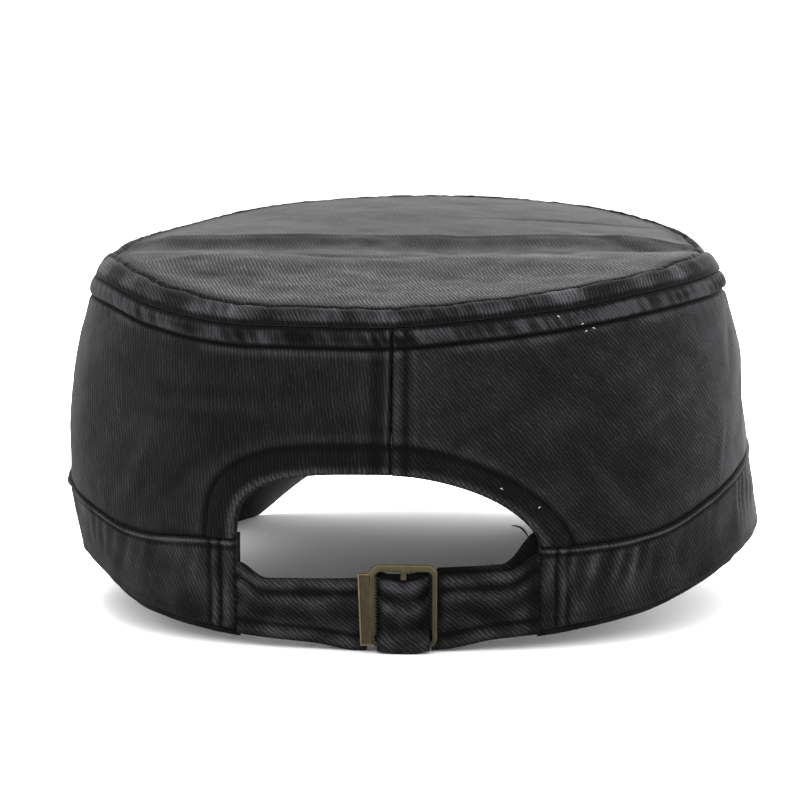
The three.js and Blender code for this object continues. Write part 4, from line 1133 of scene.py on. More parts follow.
band_angle = np.concatenate([np.linspace(band_right, band_right + 12, 70)[:-1],
                             np.linspace(band_right + 12, band_left - 12, 640)[:-1],
                             np.linspace(band_left - 12, band_left, 70)])[:, None]
band_up = np.concatenate([np.linspace(0, 0.82, 36)[:-1], np.linspace(0.82, 1, 20)])[None]
outer = band_surface(band_angle, band_up)
inner = polar(band_angle, band_radius(band_angle, band_up) - BAND_THICK, outer[..., 2])
wear_and_shade = worn_and_shaded(band_relief(band_angle, band_up), 4, 0.4, band_tone(band_angle, band_up))
band = cloth_wall("headband_cloth", outer, inner, weave_of(cloth_u(band_angle), outer[..., 2], 0.8), wear_and_shade)
dress(band, TWILL_BAND, "twill_band", "headband")

# %% [markdown]
# The sweatband
#
# A dark cotton tape lies inside the band and shows below it as a thin strip. It is a
# plain wall that waves a little along its lower edge, and it ends just short of the
# band's folded ends.

# %% Sweatband
TAPE_SHORT = 0.2
TAPE_RISES = 1.2


def tape_radius(angle, share, depth):
    """Radius of the tape at a share of its height, on its face at depth 0 or behind it."""
    low = rim_height(angle) + SWEATBAND_SHOWS
    z = mix(rim_height(angle), seam_height(angle) + TAPE_RISES, share)
    up = np.clip((z - low) / (seam_height(angle) - low), 0, 1)
    return band_radius(angle, up) - BAND_THICK - SEAM_GAP - depth


tape_share = np.linspace(0, 1, 16)[None]
tape_angle = np.linspace(band_right + TAPE_SHORT, band_left - TAPE_SHORT, 400)[:, None]
tape_z = mix(rim_height(tape_angle), seam_height(tape_angle) + TAPE_RISES, tape_share)
wave = np.minimum(0.12 * ripple(cloth_u(tape_angle) + 0 * tape_z, tape_z, 10, 71) * (1 - tape_share), 0.15)
tape_outer = polar(tape_angle, tape_radius(tape_angle, tape_share, 0) + wave, tape_z)
tape_inner = polar(tape_angle, tape_radius(tape_angle, tape_share, SWEATBAND_THICK), tape_z)
tape_weave = weave_of(cloth_u(tape_angle), tape_z, 0.6)
tape = cloth_wall("sweatband_tape", tape_outer, tape_inner, tape_weave, 0.5 + wave)
dress(tape, TAPE, "lining", "sweatband")

# %% [markdown]
# The peak
#
# The peak is a stiffened half moon sewn to the front of the band. On a table it springs
# up in the middle and droops at both sides until they touch. Rows of stitching run
# parallel to its edge.

# %% Peak
PEAK_STITCH_ROWS = (4, 11, 18, 25, 32)
PEAK_SINK = 0.1


def peak_surface(side, out, lift=0.0):
    """Points of the peak's upper face, from side -1 to 1 and from the band, at out 0, to its edge, at 1.

    The root follows the head oval. The edge is a superellipse in plan whose height goes
    from its middle height down to the table and back up to the root at the corners.
    """
    angle = 180 - side * PEAK_HALF_ANGLE
    seat = head_radius(angle) * station("rim_out", angle) - BAND_THICK
    root = polar(angle, seat, rim_height(angle) + SWEATBAND_SHOWS - SEAM_GAP)
    corner_angle = 180 - PEAK_HALF_ANGLE
    corner = polar(corner_angle, seat, 0)
    reach = head_radius(180) + PEAK_LENGTH - corner[..., 1]
    turn = side * math.pi / 2
    across = np.sign(side) * np.abs(np.sin(turn)) ** (2 / PEAK_SQUARENESS)
    ahead = np.abs(np.cos(turn)) ** (2 / PEAK_SQUARENESS)
    half_width = head_radius(corner_angle) * math.sin(math.radians(PEAK_HALF_ANGLE))
    droop = np.sin(math.pi * np.abs(side) ** PEAK_DROOP_PLACE) ** 2
    edge_z = mix(mix(PEAK_EDGE_HEIGHT, root[..., 2], np.abs(side) ** 4), 0, droop)
    camber = PEAK_CAMBER * np.sin(math.pi * out) ** 2 * np.cos(turn)
    x = mix(root[..., 0], across * half_width, out)
    y = mix(root[..., 1], corner[..., 1] + ahead * reach, out)
    z = mix(root[..., 2], edge_z, out**1.2) + camber
    return np.stack([x, y, np.maximum(PEAK_THICK, z) + lift], -1)


def peak_relief(side, out):
    """Rows of stitching parallel to the edge, a rolled edge and a slight ripple."""
    inward = (1 - out) * PEAK_LENGTH * np.cos(side * math.pi / 2) ** 0.6
    rows = bells(inward, *[(-0.35, distance, 0.6) for distance in PEAK_STITCH_ROWS])
    rows = rows * step(1 - np.abs(side), 0.02, 0.1)
    return np.minimum(rows + 0.12 * ripple(side * 80, out * 60, 14, 81), 0.3) + rolled(inward, 1.1)


peak_side = np.linspace(-0.995, 0.995, 300)[:, None]
peak_out = np.linspace(0, 1, 90)[None]
relief = peak_relief(peak_side, peak_out)
outer = peak_surface(peak_side, peak_out, relief - PEAK_SINK)
peak = cloth_wall("peak_cloth", outer, peak_surface(peak_side, peak_out, -PEAK_THICK),
                  weave_of(outer[..., 0], outer[..., 1], 0.8), worn_and_shaded(relief, 4, 0.7))
dress(peak, TWILL_RIGHT, "twill_peak", "peak")

# %% [markdown]
# The two straps
#
# A strap is a flat tube of cloth. Its surface is a closed outline carried along the
# back: up the outer face, over the top edge, down the inner face and round the bottom.
# Functions of the place along the strap say where its edges are and how deep it lies
# behind the bars of the buckle. In the buckle's window the long strap is pinched by the
# bars and hangs in U-shaped folds over the lower one.

# %% Strap maths
WINDOW_HALF = BUCKLE_WIDTH / 2 - WIRE
WINDOW_DEPTH = -0.3
UNDER_BAR = 0.85
BAR_TOP = BUCKLE_FOOT + WIRE + SEAM_GAP
TAIL_END = arch_foot(1, 0) + 0.7
STRAP_ROWS = 76


def angle_at(x):
    """Angle round the head of a place x millimetres to the right of the middle of the back."""
    return np.degrees(np.arcsin(x / head_radius(0)))


def from_buckle(angle):
    """Distance to the right of the buckle's middle."""
    return head_radius(0) * np.sin(np.radians(angle)) - BUCKLE_SHIFT


def strap_low(angle):
    """Height of a strap's lower edge: flat on the table in the middle."""
    aside = np.abs(from_buckle(angle)) / BUCKLE_WIDTH
    return np.maximum(0, rim_height(angle) - 0.25 + 1.2 * step(aside, 0.6, 1.4))


def strap_high(angle):
    """Height of a strap's upper edge, which climbs a little to the right and flares at the band's ends."""
    end = np.where(angle < 0, abs(arch_foot(-1, 0)), abs(arch_foot(1, 0)))
    flare = 4.2 * step(np.abs(angle), end - 6, end) ** 1.5
    return STRAP_WIDTH + STRAP_SLOPE * head_radius(0) * np.sin(np.radians(angle)) + flare


def strap_relief(angle, z):
    """Relief of a strap: a rolled edge above and below, two stitched grooves and soft drags."""
    outside = step(np.abs(from_buckle(angle)), BUCKLE_WIDTH / 2 - 0.5, BUCKLE_WIDTH / 2 + 1.5)
    u, height, below = cloth_u(angle), z - strap_low(angle), strap_high(angle) - z
    edge = bells(below, (0.4, 1.7, 1.2), (-0.45, 3.9, 0.8), (0.25, 6.2, 1.1), (-0.25, 9.8, 1.8))
    lip = bells(height, (0.3, 1.8, 1.0), (-0.45, 3.9, 0.7)) + rolled(below, 0.7) + rolled(height, 0.7)
    drag = 0.18 * ripple(u, z, 9, 91, stretch=3) + puckers(u - 0.5 * z, 5.5, 93) * 0.12 * bell(below - 4, 3)
    return (edge + lip + drag) * outside + np.minimum(rolled(height, 0.6), 0) * (1 - outside)


def strap_tone(angle, z):
    """Tone of a strap: pale fuzzy edges and a pale ridge between dark grooves, painted shade beside the
    buckle, darkest at its ends.
    """
    u, height, below = cloth_u(angle), z - strap_low(angle), strap_high(angle) - z
    fuzz = puckers(u, 1.7, 95)
    pale = (0.2 + 0.1 * fuzz) * bell(below - 1.6, 1.1) + (0.1 + 0.06 * fuzz) * bell(below - 6.3, 1.2)
    grooves = bells(below, (-0.34, 3.9, 0.9), (-0.16, 9.8, 1.6))
    lip = bells(height, (0.14, 1.6, 0.9), (-0.32, 3.9, 0.6), (-0.3, 0, 0.5))
    # beside is painted shade on the strap just outside the buckle's frame.
    beside = -0.3 * bell(np.abs(from_buckle(angle)) - BUCKLE_WIDTH / 2 - 0.3, 0.9)
    ends = bells(angle, (-0.35, arch_foot(1, 0) - 1, 1.2), (-0.3, arch_foot(-1, 0) - 0.2, 0.5))
    return pale + grooves + lip + beside + ends + 0.1 * ripple(u, z, 7, 97, stretch=1.6)


def strap_piece(name, angles, low, high, depth, relief_of, tone_of, node):
    """A closed strap carried along the angles: each ring is two faces and two rounded edges."""
    rows, count = STRAP_ROWS, 2 * STRAP_ROWS
    up = np.linspace(0, 1, rows)[None]
    angle = angles[:, None]
    face_z = mix(low(angle), high(angle), up)
    relief = relief_of(angle, face_z)
    seat = head_radius(angle) - depth(angle, face_z)
    pull = 0.35 * (bell(up, 0.03) - bell(1 - up, 0.03))
    inside = polar(angle, seat - STRAP_THICK, face_z + pull)
    points = np.concatenate([polar(angle, seat + relief, face_z), inside[:, ::-1]], 1).reshape(-1, 3)
    number = np.arange(len(angles) * count).reshape(len(angles), count)
    number = np.concatenate([number, number[:, :1]], 1)
    ends = [np.stack([number[i, :rows - 1], number[i, 1:rows],
                      number[i, count - 2:rows - 1:-1], number[i, count - 1:rows:-1]], 1) for i in (0, -1)]
    cells = np.concatenate([quads(number), ends[0], ends[1][:, ::-1]])
    weave = weave_of(cloth_u(angle), face_z, 0.9)
    weave = np.concatenate([weave, weave[:, ::-1]], 1).reshape(-1, 3)
    wear_and_shade = worn_and_shaded(relief, 3, 0.4, tone_of(angle, face_z))
    wear_and_shade = np.concatenate([wear_and_shade, np.full_like(wear_and_shade, HIDDEN_WEAR)], 1)
    piece = make_piece(name, points, [outward(points, cells)], weave, wear_and_shade)
    return dress(piece, TWILL_STRAP, "twill_strap", node)


# %% Long strap
def window_share(angle):
    """Place across the buckle's window, from -1 at its left bar to 1 at its right bar."""
    return from_buckle(angle) / WINDOW_HALF


def in_window(angle):
    """1 in the buckle's window and 0 behind its bars."""
    return 1 - step(np.abs(from_buckle(angle)), WINDOW_HALF - 1.2, WINDOW_HALF)


def long_depth(angle, z):
    """How deep the long strap lies: behind the left bar, out in the window, then behind the short strap."""
    x = from_buckle(angle)
    clear = WINDOW_HALF - 0.7
    tail = UNDER_BAR + STRAP_THICK + SEAM_GAP
    left = mix(UNDER_BAR, WINDOW_DEPTH, step(-np.abs(x), -clear, -clear + 1.4))
    depth = np.where(x < 0, left, mix(WINDOW_DEPTH, tail, step(x, 1.5, WINDOW_HALF - 1)))
    over_foot = -0.2 - WIRE / 2 - SEAM_GAP - STRAP_THICK
    lip = mix(depth, over_foot, step(-np.abs(x), -WINDOW_HALF + 0.2, -WINDOW_HALF + 0.8))
    return mix(lip, depth, step(z, BAR_TOP + 0.3, BUCKLE_FOOT + WIRE + 3.5))


def long_low(angle):
    """Lower edge of the long strap, which rides up over the buckle's foot beside the window."""
    x = from_buckle(angle)
    left = step(x, -BUCKLE_WIDTH / 2 - 1.2, -BUCKLE_WIDTH / 2) * (x < 0)
    hook = (left + (x > 0)) * (1 - step(-np.abs(x), -WINDOW_HALF - 0.3, -WINDOW_HALF + 0.7))
    sag = strap_low(angle) + 0.9 * window_share(angle) ** 2 * in_window(angle)
    return mix(sag, np.maximum(BAR_TOP, strap_low(angle)), hook)


def long_high(angle):
    """Upper edge of the long strap: horns at the bars, a dip between, a tail above the short strap."""
    x = from_buckle(angle)
    horns = bell(np.abs(x) - WINDOW_HALF, 2.5) * (1 - step(x, WINDOW_HALF, WINDOW_HALF + 1.5))
    tail = (1.7 + 4 * step(angle, TAIL_END - 7, TAIL_END)) * step(x, WINDOW_HALF, WINDOW_HALF + 2)
    return strap_high(angle) + 0.9 * in_window(angle) + 1.0 * horns + tail


WINDOW_FOLDS = (
    # height in the middle, rise to the bars, half width and relief in mm, then the painted highlight or
    # shade
    (16.4, 2.2, 1.3, 0.45, 0.26),
    (13.4, 2.4, 1.2, -0.5, -0.26),
    (10.2, 3.2, 1.3, 0.35, 0.17),
    (6.2, 2.2, 2.2, -0.1, -0.2),
    (1.6, 2.5, 0.8, 0.15, 0.12),
)


def window_fold(angle, z, column):
    """The U-shaped folds across the window, as relief with column 3 or painted highlight and shade with
    column 4.
    """
    sag = window_share(angle) ** 2
    folds = sum(row[column] * bell(z - row[0] - row[1] * sag, row[2]) for row in WINDOW_FOLDS)
    return folds * in_window(angle)


def behind(angle, z):
    """1 above the front fold of the window, where the cloth goes back under the upper bar."""
    return step(z - 1.2 * window_share(angle) ** 2, 18.2, 18.9)


def long_relief(angle, z):
    """The strap's own relief, and in the window a pillow with its folds."""
    pillow = 0.5 * np.cos(math.pi / 2 * np.clip(window_share(angle), -1, 1)) - 0.4
    inside = (pillow - 0.9 * behind(angle, z)) * in_window(angle)
    return strap_relief(angle, z) + inside + window_fold(angle, z, 3)


def long_tone(angle, z):
    """The strap's own tone outside the window, and in it painted highlights and shade on the folds, the
    bars' painted shade, painted highlights on its flanks and a tail painted in shade.
    """
    share = np.abs(window_share(angle))
    # shade is the bars' painted shadow at the window's sides and painted highlights on its flanks. lit
    # paints the window a little paler, with a painted shadow under the upper bar. tail paints the tail
    # beyond the window in shade.
    shade = -0.42 * step(share, 0.84, 0.97) + 0.1 * bell(share - 0.7, 0.16) * bell(z - 6, 4)
    lit = 0.07 - 0.6 * behind(angle, z) + 0.08 * ripple(cloth_u(angle), z, 5, 99)
    tail = -0.3 * step(from_buckle(angle), WINDOW_HALF, WINDOW_HALF + 2)
    own = strap_tone(angle, z) * step(share, 1.0, 1.25)
    return own + window_fold(angle, z, 4) + (lit + shade) * in_window(angle) + tail


slack = math.degrees(SEAM_GAP / head_radius(0))
buckle_from = float(angle_at(BUCKLE_SHIFT - BUCKLE_WIDTH / 2 - 1.5))
buckle_to = float(angle_at(BUCKLE_SHIFT + BUCKLE_WIDTH / 2))
long_angles = np.concatenate([np.linspace(arch_foot(-1, 0) + slack, buckle_from, 110)[:-1],
                              np.linspace(buckle_from, buckle_to, 120),
                              np.linspace(buckle_to, TAIL_END, 60)[1:]])
strap_piece("long_strap_cloth", long_angles, long_low, long_high, long_depth, long_relief, long_tone,
            "strap_long")


# %% Short strap
def short_depth(angle, z):
    """The short strap lies behind the right bar over its whole length."""
    return UNDER_BAR + 0 * z * angle


short_angles = np.linspace(float(angle_at(BUCKLE_SHIFT + WINDOW_HALF + 0.1)), arch_foot(1, 0) - slack, 110)
strap_piece("short_strap_cloth", short_angles, strap_low, strap_high, short_depth, strap_relief, strap_tone,
            "strap_short")

# %% [markdown]
# The buckle
#
# The frame is a wire bent into a rectangle with rounded corners. Its surface is a
# rounded section carried round that closed path, with a taller section on the upper
# bar. The middle post hangs from the upper bar and dives behind the strap, small teeth
# stand on the inner side of the left bar, and the clamp's flat lever leans over the
# frame's left edge. Wear is stored as 1 on the outer edges and less in the hollows.

# %% Buckle place and wire
BUCKLE_ANGLE = float(angle_at(BUCKLE_SHIFT))
HALF_WIRE = WIRE / 2
FRAME_RINGS = 360
FRAME_SIDES = 24
FRAME_OUT = 0.2


def on_buckle(x, y, out):
    """Points from a flat drawing, x to the right, y up from the buckle's foot and out from the head."""
    turn = math.radians(BUCKLE_ANGLE)
    radius = float(head_radius(BUCKLE_ANGLE)) + out
    px = radius * math.sin(turn) + x * math.cos(turn)
    py = -radius * math.cos(turn) + x * math.sin(turn)
    return np.stack(np.broadcast_arrays(px, py, y + BUCKLE_FOOT), -1)


def ring_faces(rings, sides, closed):
    """Faces of rings of points joined along a path; each open end gets a fan round a middle point."""
    number = np.arange(rings * sides).reshape(rings, sides)
    number = np.concatenate([number, number[:, :1]], 1)
    if closed:
        return quads(np.concatenate([number, number[:1]]))
    cells, last = quads(number), rings * sides
    start = np.stack([number[0, 1:], number[0, :-1], np.full(sides, last)], 1)
    end = np.stack([number[-1, :-1], number[-1, 1:], np.full(sides, last + 1)], 1)
    return np.concatenate([cells[:, [0, 1, 2]], cells[:, [0, 2, 3]], start, end])


def with_ends(rings):
    """The points of rings in a row, followed by the middle of the first and of the last ring."""
    return np.concatenate([rings.reshape(-1, 3), rings[0].mean(0)[None], rings[-1].mean(0)[None]])


def squared(turn, power):
    """The cosine and sine of a turn with their sizes raised to a power: a circle made squarer."""
    return [np.sign(f(turn)) * np.abs(f(turn)) ** power for f in (np.cos, np.sin)]


def travelled(line):
    """Length along a line of points up to each of them."""
    return np.concatenate([[0], np.cumsum(np.linalg.norm(np.diff(line, axis=0), axis=1))])


def read_off(at, place, values):
    """Rows of values read off a line of them at other places."""
    return np.stack([np.interp(at, place, column) for column in values.T], 1)


def rounded_path(half, low, high, corner, count=16):
    """A rectangle with round corners as a closed list of x and y, starting at the lower left."""
    turn = np.linspace(0, math.pi / 2, count)
    centres = ((half - corner, low + corner, -math.pi / 2), (half - corner, high - corner, 0),
               (-half + corner, high - corner, math.pi / 2), (-half + corner, low + corner, math.pi))
    arcs = [np.stack([cx + corner * np.cos(start + turn), cy + corner * np.sin(start + turn)], 1)
            for cx, cy, start in centres]
    path = np.concatenate(arcs + [arcs[0][:1]])
    length = travelled(path)
    return read_off(np.linspace(0, length[-1], FRAME_RINGS, endpoint=False), length, path)


# %% Buckle frame
path = rounded_path(BUCKLE_WIDTH / 2 - HALF_WIRE, HALF_WIRE, BUCKLE_HEIGHT - HALF_WIRE, 2.0)
ahead = np.roll(path, -1, 0) - np.roll(path, 1, 0)
ahead /= np.linalg.norm(ahead, axis=1, keepdims=True)
top_bar = step(path[:, 1:], BUCKLE_HEIGHT - 3.4, BUCKLE_HEIGHT - 1.2)
across, out = squared(np.linspace(0, math.tau, FRAME_SIDES, endpoint=False)[None], 0.5)
half_in = 0.66 + 0.26 * top_bar
x = path[:, :1] + ahead[:, 1:] * across * half_in
y = path[:, 1:] - ahead[:, :1] * across * half_in - 0.2 * top_bar
rim = across * (out > -0.5)
wear_and_shade = 0.3 + 0.5 * bell(rim - 0.9, 0.25) * (out > 0) + 0.15 * top_bar + 0.12 * bell(rim + 0.9, 0.2)
points = on_buckle(x, y, FRAME_OUT + 0.72 * out + 0 * x).reshape(-1, 3)
faces = outward(points, ring_faces(FRAME_RINGS, FRAME_SIDES, True))
frame_piece = make_piece("buckle_frame_brass", points, [faces], None, (np.clip(wear_and_shade, 0, 1) + 0 * x).ravel())
dress(frame_piece, BRASS, "brass", "buckle_frame")

# %% [markdown]
# The middle post bends out of the plane of the frame, so its rings are carried along a
# path in height and depth. The teeth are little wedges, all in one mesh, and the lever
# is a plate with a raised, polished rim on its left and upper sides.

# %% Middle post
POST_HEIGHTS = (BUCKLE_HEIGHT - HALF_WIRE, BUCKLE_HEIGHT - WIRE - 2.2, 18.0, 5.5, 2.9, HALF_WIRE)
POST_OUTS = (FRAME_OUT, FRAME_OUT, -2.2, -2.2, -1.1, FRAME_OUT)
POST_RINGS = 60
POST_SIDES = 16
POST_BEND_RING = 13
route = np.linspace(0, len(POST_OUTS) - 1, POST_RINGS)
path = read_off(route, range(len(POST_OUTS)), np.array([POST_HEIGHTS, POST_OUTS]).T)
path[1:-1] = (path[:-2] + 2 * path[1:-1] + path[2:]) / 4
ahead = np.gradient(path, axis=0)
ahead /= np.linalg.norm(ahead, axis=1, keepdims=True)
across, lift = squared(np.linspace(0, math.tau, POST_SIDES, endpoint=False)[None], 0.7)
points = with_ends(on_buckle(0.8 * across + 0 * path[:, :1], path[:, :1] - ahead[:, 1:] * lift * 0.5,
                             path[:, 1:] + ahead[:, :1] * lift * 0.5))
bend = bell(np.arange(POST_RINGS)[:, None] - POST_BEND_RING, 2.5) + 0 * across
wear_and_shade = np.concatenate([(0.3 + 0.6 * bend).ravel(), [0.5, 0.5]])
faces = outward(points, ring_faces(POST_RINGS, POST_SIDES, False))
dress(make_piece("buckle_post_brass", points, [faces], None, wear_and_shade), BRASS, "brass")

# %% Teeth
TOOTH_COUNT = 19
TOOTH_SIZE = 0.4
TOOTH_MARGIN = 3.2
tooth_from, tooth_to = TOOTH_MARGIN, BUCKLE_HEIGHT - TOOTH_MARGIN
pitch = (tooth_to - tooth_from) / TOOTH_COUNT
tooth_y = tooth_from + pitch * (np.arange(TOOTH_COUNT)[:, None] + np.array([0.08, 0.5, 0.92])[None])
tooth_x = -WINDOW_HALF + np.array([-0.25, TOOTH_SIZE, -0.25])[None] + 0 * tooth_y
points = np.stack([on_buckle(tooth_x, tooth_y, -0.2), on_buckle(tooth_x, tooth_y, 0.6)], 2).reshape(-1, 3)
start = np.arange(TOOTH_COUNT)[:, None] * 6
quad = np.concatenate([start + corners for corners in ([[0, 2, 3, 1]], [[2, 4, 5, 3]], [[4, 0, 1, 5]])])
ends = [start + corners for corners in ([[0, 4, 2]], [[1, 3, 5]])]
triangles = np.concatenate([quad[:, [0, 1, 2]], quad[:, [0, 2, 3]]] + ends)
tooth_wear = np.full(len(points), 0.5)
teeth = make_piece("buckle_teeth_brass", points, [outward(points, triangles)], None, tooth_wear)
teeth.data.polygons.foreach_set("use_smooth", np.zeros(len(teeth.data.polygons), bool))
dress(teeth, BRASS, "brass")

# %% Lever
LEVER_WIDTH = 3.2
LEVER_HEIGHT = 18.8
LEVER_FOOT = 0.7
LEVER_LEAN = 2.4
LEVER_PROUD = 1.05
across = np.linspace(0, 1, 44)[:, None]
along = np.linspace(0, 1, 170)[None]
from_rim = np.minimum(across * LEVER_WIDTH, np.minimum(along, 1 - along) * LEVER_HEIGHT)
rise_out = LEVER_PROUD * (1 - along) ** 0.7
plate_out = 0.1 + rise_out + 0.5 - 0.3 * step(from_rim, 0.45, 0.7) + rolled(from_rim, 0.3)
plate_out = plate_out + rolled((1 - across) * LEVER_WIDTH, 0.25)
plate_y = LEVER_FOOT + along * LEVER_HEIGHT + 0 * across
lean = math.tan(math.radians(LEVER_LEAN)) * (LEVER_FOOT + LEVER_HEIGHT - plate_y)
plate_x = -BUCKLE_WIDTH / 2 + 0.05 - LEVER_WIDTH * (1 - across) + lean
wear_and_shade = np.clip(0.2 + 0.7 * bell(from_rim - 0.22, 0.22) + 0.1 * bell(1 - across, 0.1), 0, 1)
plate = on_buckle(plate_x, plate_y, plate_out)
plate_back = on_buckle(plate_x, plate_y, rise_out - 0.1 + 0 * plate_x)
lever = cloth_wall("buckle_lever_brass", plate, plate_back, weave_of(plate_x, plate_y, 0), wear_and_shade)
dress(lever, BRASS_PLATE, "brass_plate", "buckle_clamp")

# %% [markdown]
# Stitches
#
# A row of stitches is the same short bead of thread, hundreds of times. One bead is a
# small capsule with few faces. For each stitch it is turned along the seam and set
# slightly into the cloth, and all the beads of a row become one mesh.

# %% Stitches
def bead_shape():
    """A capsule along its first axis, 1 long and 1 thick, as points and triangles."""
    thick = np.array([0.38, 0.5, 0.38])[:, None]
    around = np.linspace(0, math.tau, 6, endpoint=False)[None]
    along = np.array([-0.42, 0.0, 0.42])[:, None]
    rings = np.stack(np.broadcast_arrays(along, thick * np.cos(around), thick * np.sin(around)), -1)
    return np.concatenate([rings.reshape(-1, 3), [[-0.5, 0, 0], [0.5, 0, 0]]]), ring_faces(3, 6, False)


def unit(vectors):
    """The vectors scaled to a length of 1."""
    return vectors / np.linalg.norm(vectors, axis=1, keepdims=True)


def stitch_row(name, line, outs, pitch=2.7, length=1.9, thick=0.34, sink=0.2):
    """Beads of thread along a line of points, with outs the direction away from the cloth at each."""
    place = travelled(line)
    middles = np.arange(pitch / 2, place[-1], pitch)
    centre = read_off(middles, place, line)
    ahead = unit(read_off(middles + length / 2, place, line) - read_off(middles - length / 2, place, line))
    out = read_off(middles, place, outs)
    out = unit(out - ahead * (out * ahead).sum(1, keepdims=True))
    side = np.cross(ahead, out)
    points, faces = bead_shape()
    placed = (centre[:, None] - sink * out[:, None] + points[None, :, :1] * length * ahead[:, None]
              + points[None, :, 1:2] * thick * side[:, None] + points[None, :, 2:] * thick * out[:, None])
    every = (faces[None] + (np.arange(len(middles)) * len(points))[:, None, None]).reshape(-1, 3)
    flat = placed.reshape(-1, 3)
    return dress(make_piece(name, flat, [outward(flat, every)]), THREAD, "lining")


def outward_of(angle):
    """The level direction away from the head at each angle."""
    return polar(angle, np.ones_like(angle), 0 * angle)


LINE_POINTS = 900
round_top = np.linspace(0.5, 359.5, LINE_POINTS)
ring_line = top_surface(round_top, 1 - TOP_RING / (TOP_WIDTH / 2) + 0 * round_top)
stitch_row("ring_stitches", ring_line, np.tile([0.0, 0.0, 1.0], (LINE_POINTS, 1)))
round_wall = np.linspace(-179.5, 179.5, LINE_POINTS)
strip_line = wall_surface(round_wall, 1 - SEAM_STRIP / wall_height(round_wall))
stitch_row("strip_stitches", strip_line, outward_of(round_wall))
round_band = np.linspace(band_right + 1, band_left - 1, LINE_POINTS)
band_line = band_surface(round_band, 1 - 2.4 / BAND_WIDTH + 0 * round_band)
stitch_row("band_stitches", band_line, outward_of(round_band))
arch_angle, arch_height = arch_line(BINDING_WIDTH + 0.3, 4, 176, 0.5)
facing_line = wall_surface(arch_angle, arch_height / wall_height(arch_angle))
stitch_row("arch_stitches", facing_line, outward_of(arch_angle))
fell_up = np.linspace(0.42, 0.9, 80)
fell_angle = np.full(80, math.degrees((FELL_WIDTH - 1.3) / ((HEAD_WIDTH + HEAD_DEPTH) / 4)))
stitch_row("fell_stitches", wall_surface(fell_angle, fell_up), outward_of(fell_angle))

# %% [markdown]
# Lint and a loose thread
#
# A washed cap picks up specks of pale lint, and a cut thread end curls out of the seam
# at the right foot of the arch. Both are short curved beads of fibre.

# %% Lint and loose thread
FIBRE_RINGS = 24
FIBRE_SIDES = 7
LINT_SPECKS = (
    # angle round the head in degrees, height above the table and distance off the wall in mm
    (32.6, 83.9, 0.25),
    (34.6, 83.0, 0.25),
    (33.2, 82.0, 0.25),
    (28.2, 86.4, 0.7),
    (23.8, 37.1, 0.8),
    (17.6, 42.6, 0.8),
)
THREAD_HEIGHT = 29.0
THREAD_BENDS = ((-2.6, 0, 0), (-3.4, 0, 1.6), (-4.5, 0, 2.9), (-5.8, 0, 3.5), (-7.2, 0, 3.6))


def fibre(name, path, thick, material):
    """A thin closed tube along a short path of points in millimetres, narrowing to both ends."""
    path = np.asarray(path, float)
    even = np.linspace(0, 1, FIBRE_RINGS)
    curve = read_off(even, np.linspace(0, 1, len(path)), path)
    for _ in range(4):
        curve[1:-1] = (curve[:-2] + 2 * curve[1:-1] + curve[2:]) / 4
    ahead = unit(np.gradient(curve, axis=0))
    side = unit(np.cross(ahead, [0.2, -1, 0.3]))
    lift = np.cross(ahead, side)
    around = np.linspace(0, math.tau, FIBRE_SIDES, endpoint=False)[None, :, None]
    radius = thick / 2 * (0.35 + 0.65 * np.sin(math.pi * np.clip(even, 0.04, 0.96)))[:, None, None]
    rings = curve[:, None] + radius * (np.cos(around) * side[:, None] + np.sin(around) * lift[:, None])
    flat = with_ends(rings)
    faces = outward(flat, ring_faces(FIBRE_RINGS, FIBRE_SIDES, False))
    return dress(make_piece(name, flat, [faces]), material, "lining")


def on_wall(angle, height, proud):
    """A point standing a little proud of the wall, from its angle and its height above the table."""
    angle = np.array([float(angle)])
    up = (height - seam_height(angle)) / wall_height(angle)
    return (wall_surface(angle, up) + proud * outward_of(angle))[0]


for index, (angle, height, proud) in enumerate(LINT_SPECKS):
    start_point = on_wall(angle, height, proud)
    end_point = on_wall(angle + 0.45, height + 0.3 * (-1) ** index, proud)
    fibre(f"lint_{index}", [start_point, (start_point + end_point) / 2 + [0, 0, 0.2], end_point], 0.3, LINT)
foot = arch_foot(1, 0)
root_point = polar(np.array([foot - 0.4]), head_radius(foot), np.array([THREAD_HEIGHT]))[0]
fibre("loose_thread", [root_point + bend for bend in THREAD_BENDS], 0.5, THREAD)
print("lint specks:", len(LINT_SPECKS))

# %% [markdown]
# Floor, light and camera
#
# The cap lies on a wide pale floor under a bright, even, white surround, so that the
# floor and the background both come out white as in a picture for a shop. One large
# soft light stands on the far side and skims the top; with the top's twill made paler,
# partly as painted light, the top is far paler than the walls. A low one reaches under
# the peak from the far right, so the floor seen through the back opening pales away
# from us and to the right. The camera stands low behind the cap, a little to the
# right, with a long lens, as in the photograph.

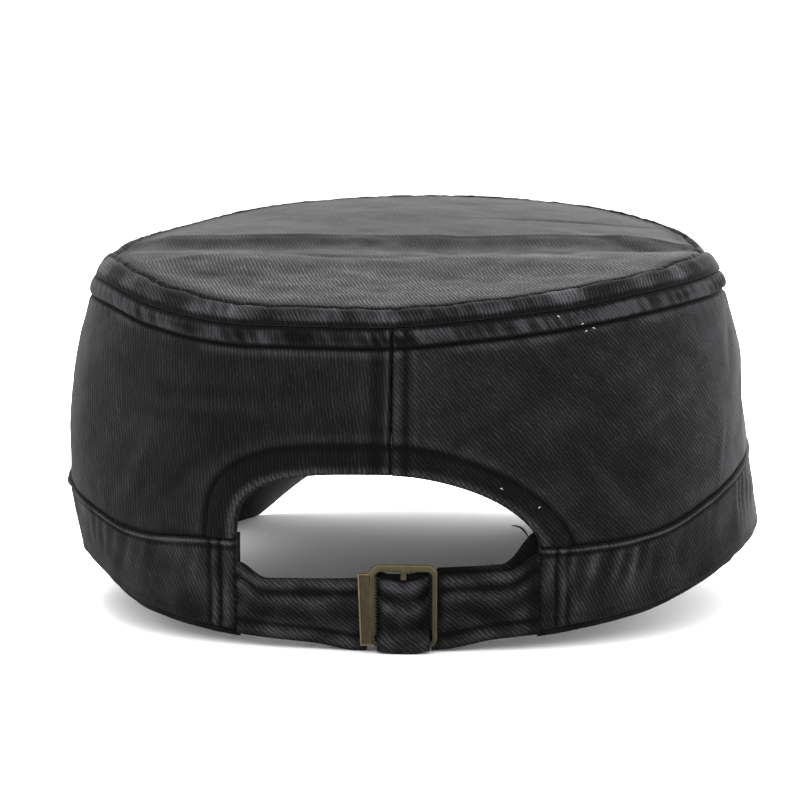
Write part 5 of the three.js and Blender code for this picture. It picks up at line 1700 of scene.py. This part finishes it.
# %% Floor
FLOOR_REACH = 6.0
FLOOR_DROP = 0.00005
floor_mesh = bpy.data.meshes.new("floor")
corners = [(x * FLOOR_REACH, y * FLOOR_REACH, -FLOOR_DROP) for x, y in ((-1, -1), (1, -1), (1, 1), (-1, 1))]
floor_mesh.from_pydata(corners, [], [(0, 1, 2, 3)])
floor = bpy.data.objects.new("floor", floor_mesh)
bpy.context.scene.collection.objects.link(floor)
paper = Recipe("pale_paper")
paper.set(Base_Color=(0.9, 0.9, 0.91, 1), Roughness=0.9, Specular_IOR_Level=0.1)
floor_mesh.materials.append(paper.material)


# %% Lights
def soft_light(name, place, aim, size, power):
    """A square area light at a place in metres, turned to its aim."""
    lamp = bpy.data.lights.new(name, "AREA")
    lamp.shape = "SQUARE"
    lamp.size = size
    lamp.energy = power
    holder = bpy.data.objects.new(name, lamp)
    holder.location = place
    holder.rotation_euler = (Vector(aim) - Vector(place)).to_track_quat("-Z", "Y").to_euler()
    bpy.context.scene.collection.objects.link(holder)


SURROUND = 2.1
soft_light("far_softbox", (-0.1, 0.8, 0.9), (0, 0.05, 0.05), 1.2, 36)
soft_light("low_softbox", (0.35, 1.0, 0.2), (0.02, -0.08, 0), 0.38, 15)
world = bpy.data.worlds.new("studio")
world.use_nodes = True
world.node_tree.nodes["Background"].inputs[0].default_value = (1, 1, 1, 1)
world.node_tree.nodes["Background"].inputs[1].default_value = SURROUND
bpy.context.scene.world = world
bpy.context.scene.view_settings.view_transform = "Standard"

# %% Camera
CAMERA_DISTANCE = 800
CAMERA_RISE = 7.0
CAMERA_YAW = 3.9
AIM_HEIGHT = 54.5
SIDE_STEP = -3.77
LENS = 124.3

rise, yaw = math.radians(CAMERA_RISE), math.radians(CAMERA_YAW)
away = np.array([math.cos(rise) * math.sin(yaw), -math.cos(rise) * math.cos(yaw), math.sin(rise)])
right = np.array([math.cos(yaw), math.sin(yaw), 0.0])
aim = np.array([0, 0, AIM_HEIGHT]) + right * SIDE_STEP
spot = aim + away * CAMERA_DISTANCE
view = bpy.data.cameras.new("camera")
view.lens = LENS
view.sensor_width = 36
view.sensor_fit = "HORIZONTAL"
camera = bpy.data.objects.new("camera", view)
camera.location = (spot * MM + HEAD_MIDDLE).tolist()
camera.rotation_euler = Vector((-away).tolist()).to_track_quat("-Z", "Y").to_euler()
bpy.context.scene.collection.objects.link(camera)
bpy.context.scene.camera = camera
print("camera at", [round(c, 3) for c in camera.location])
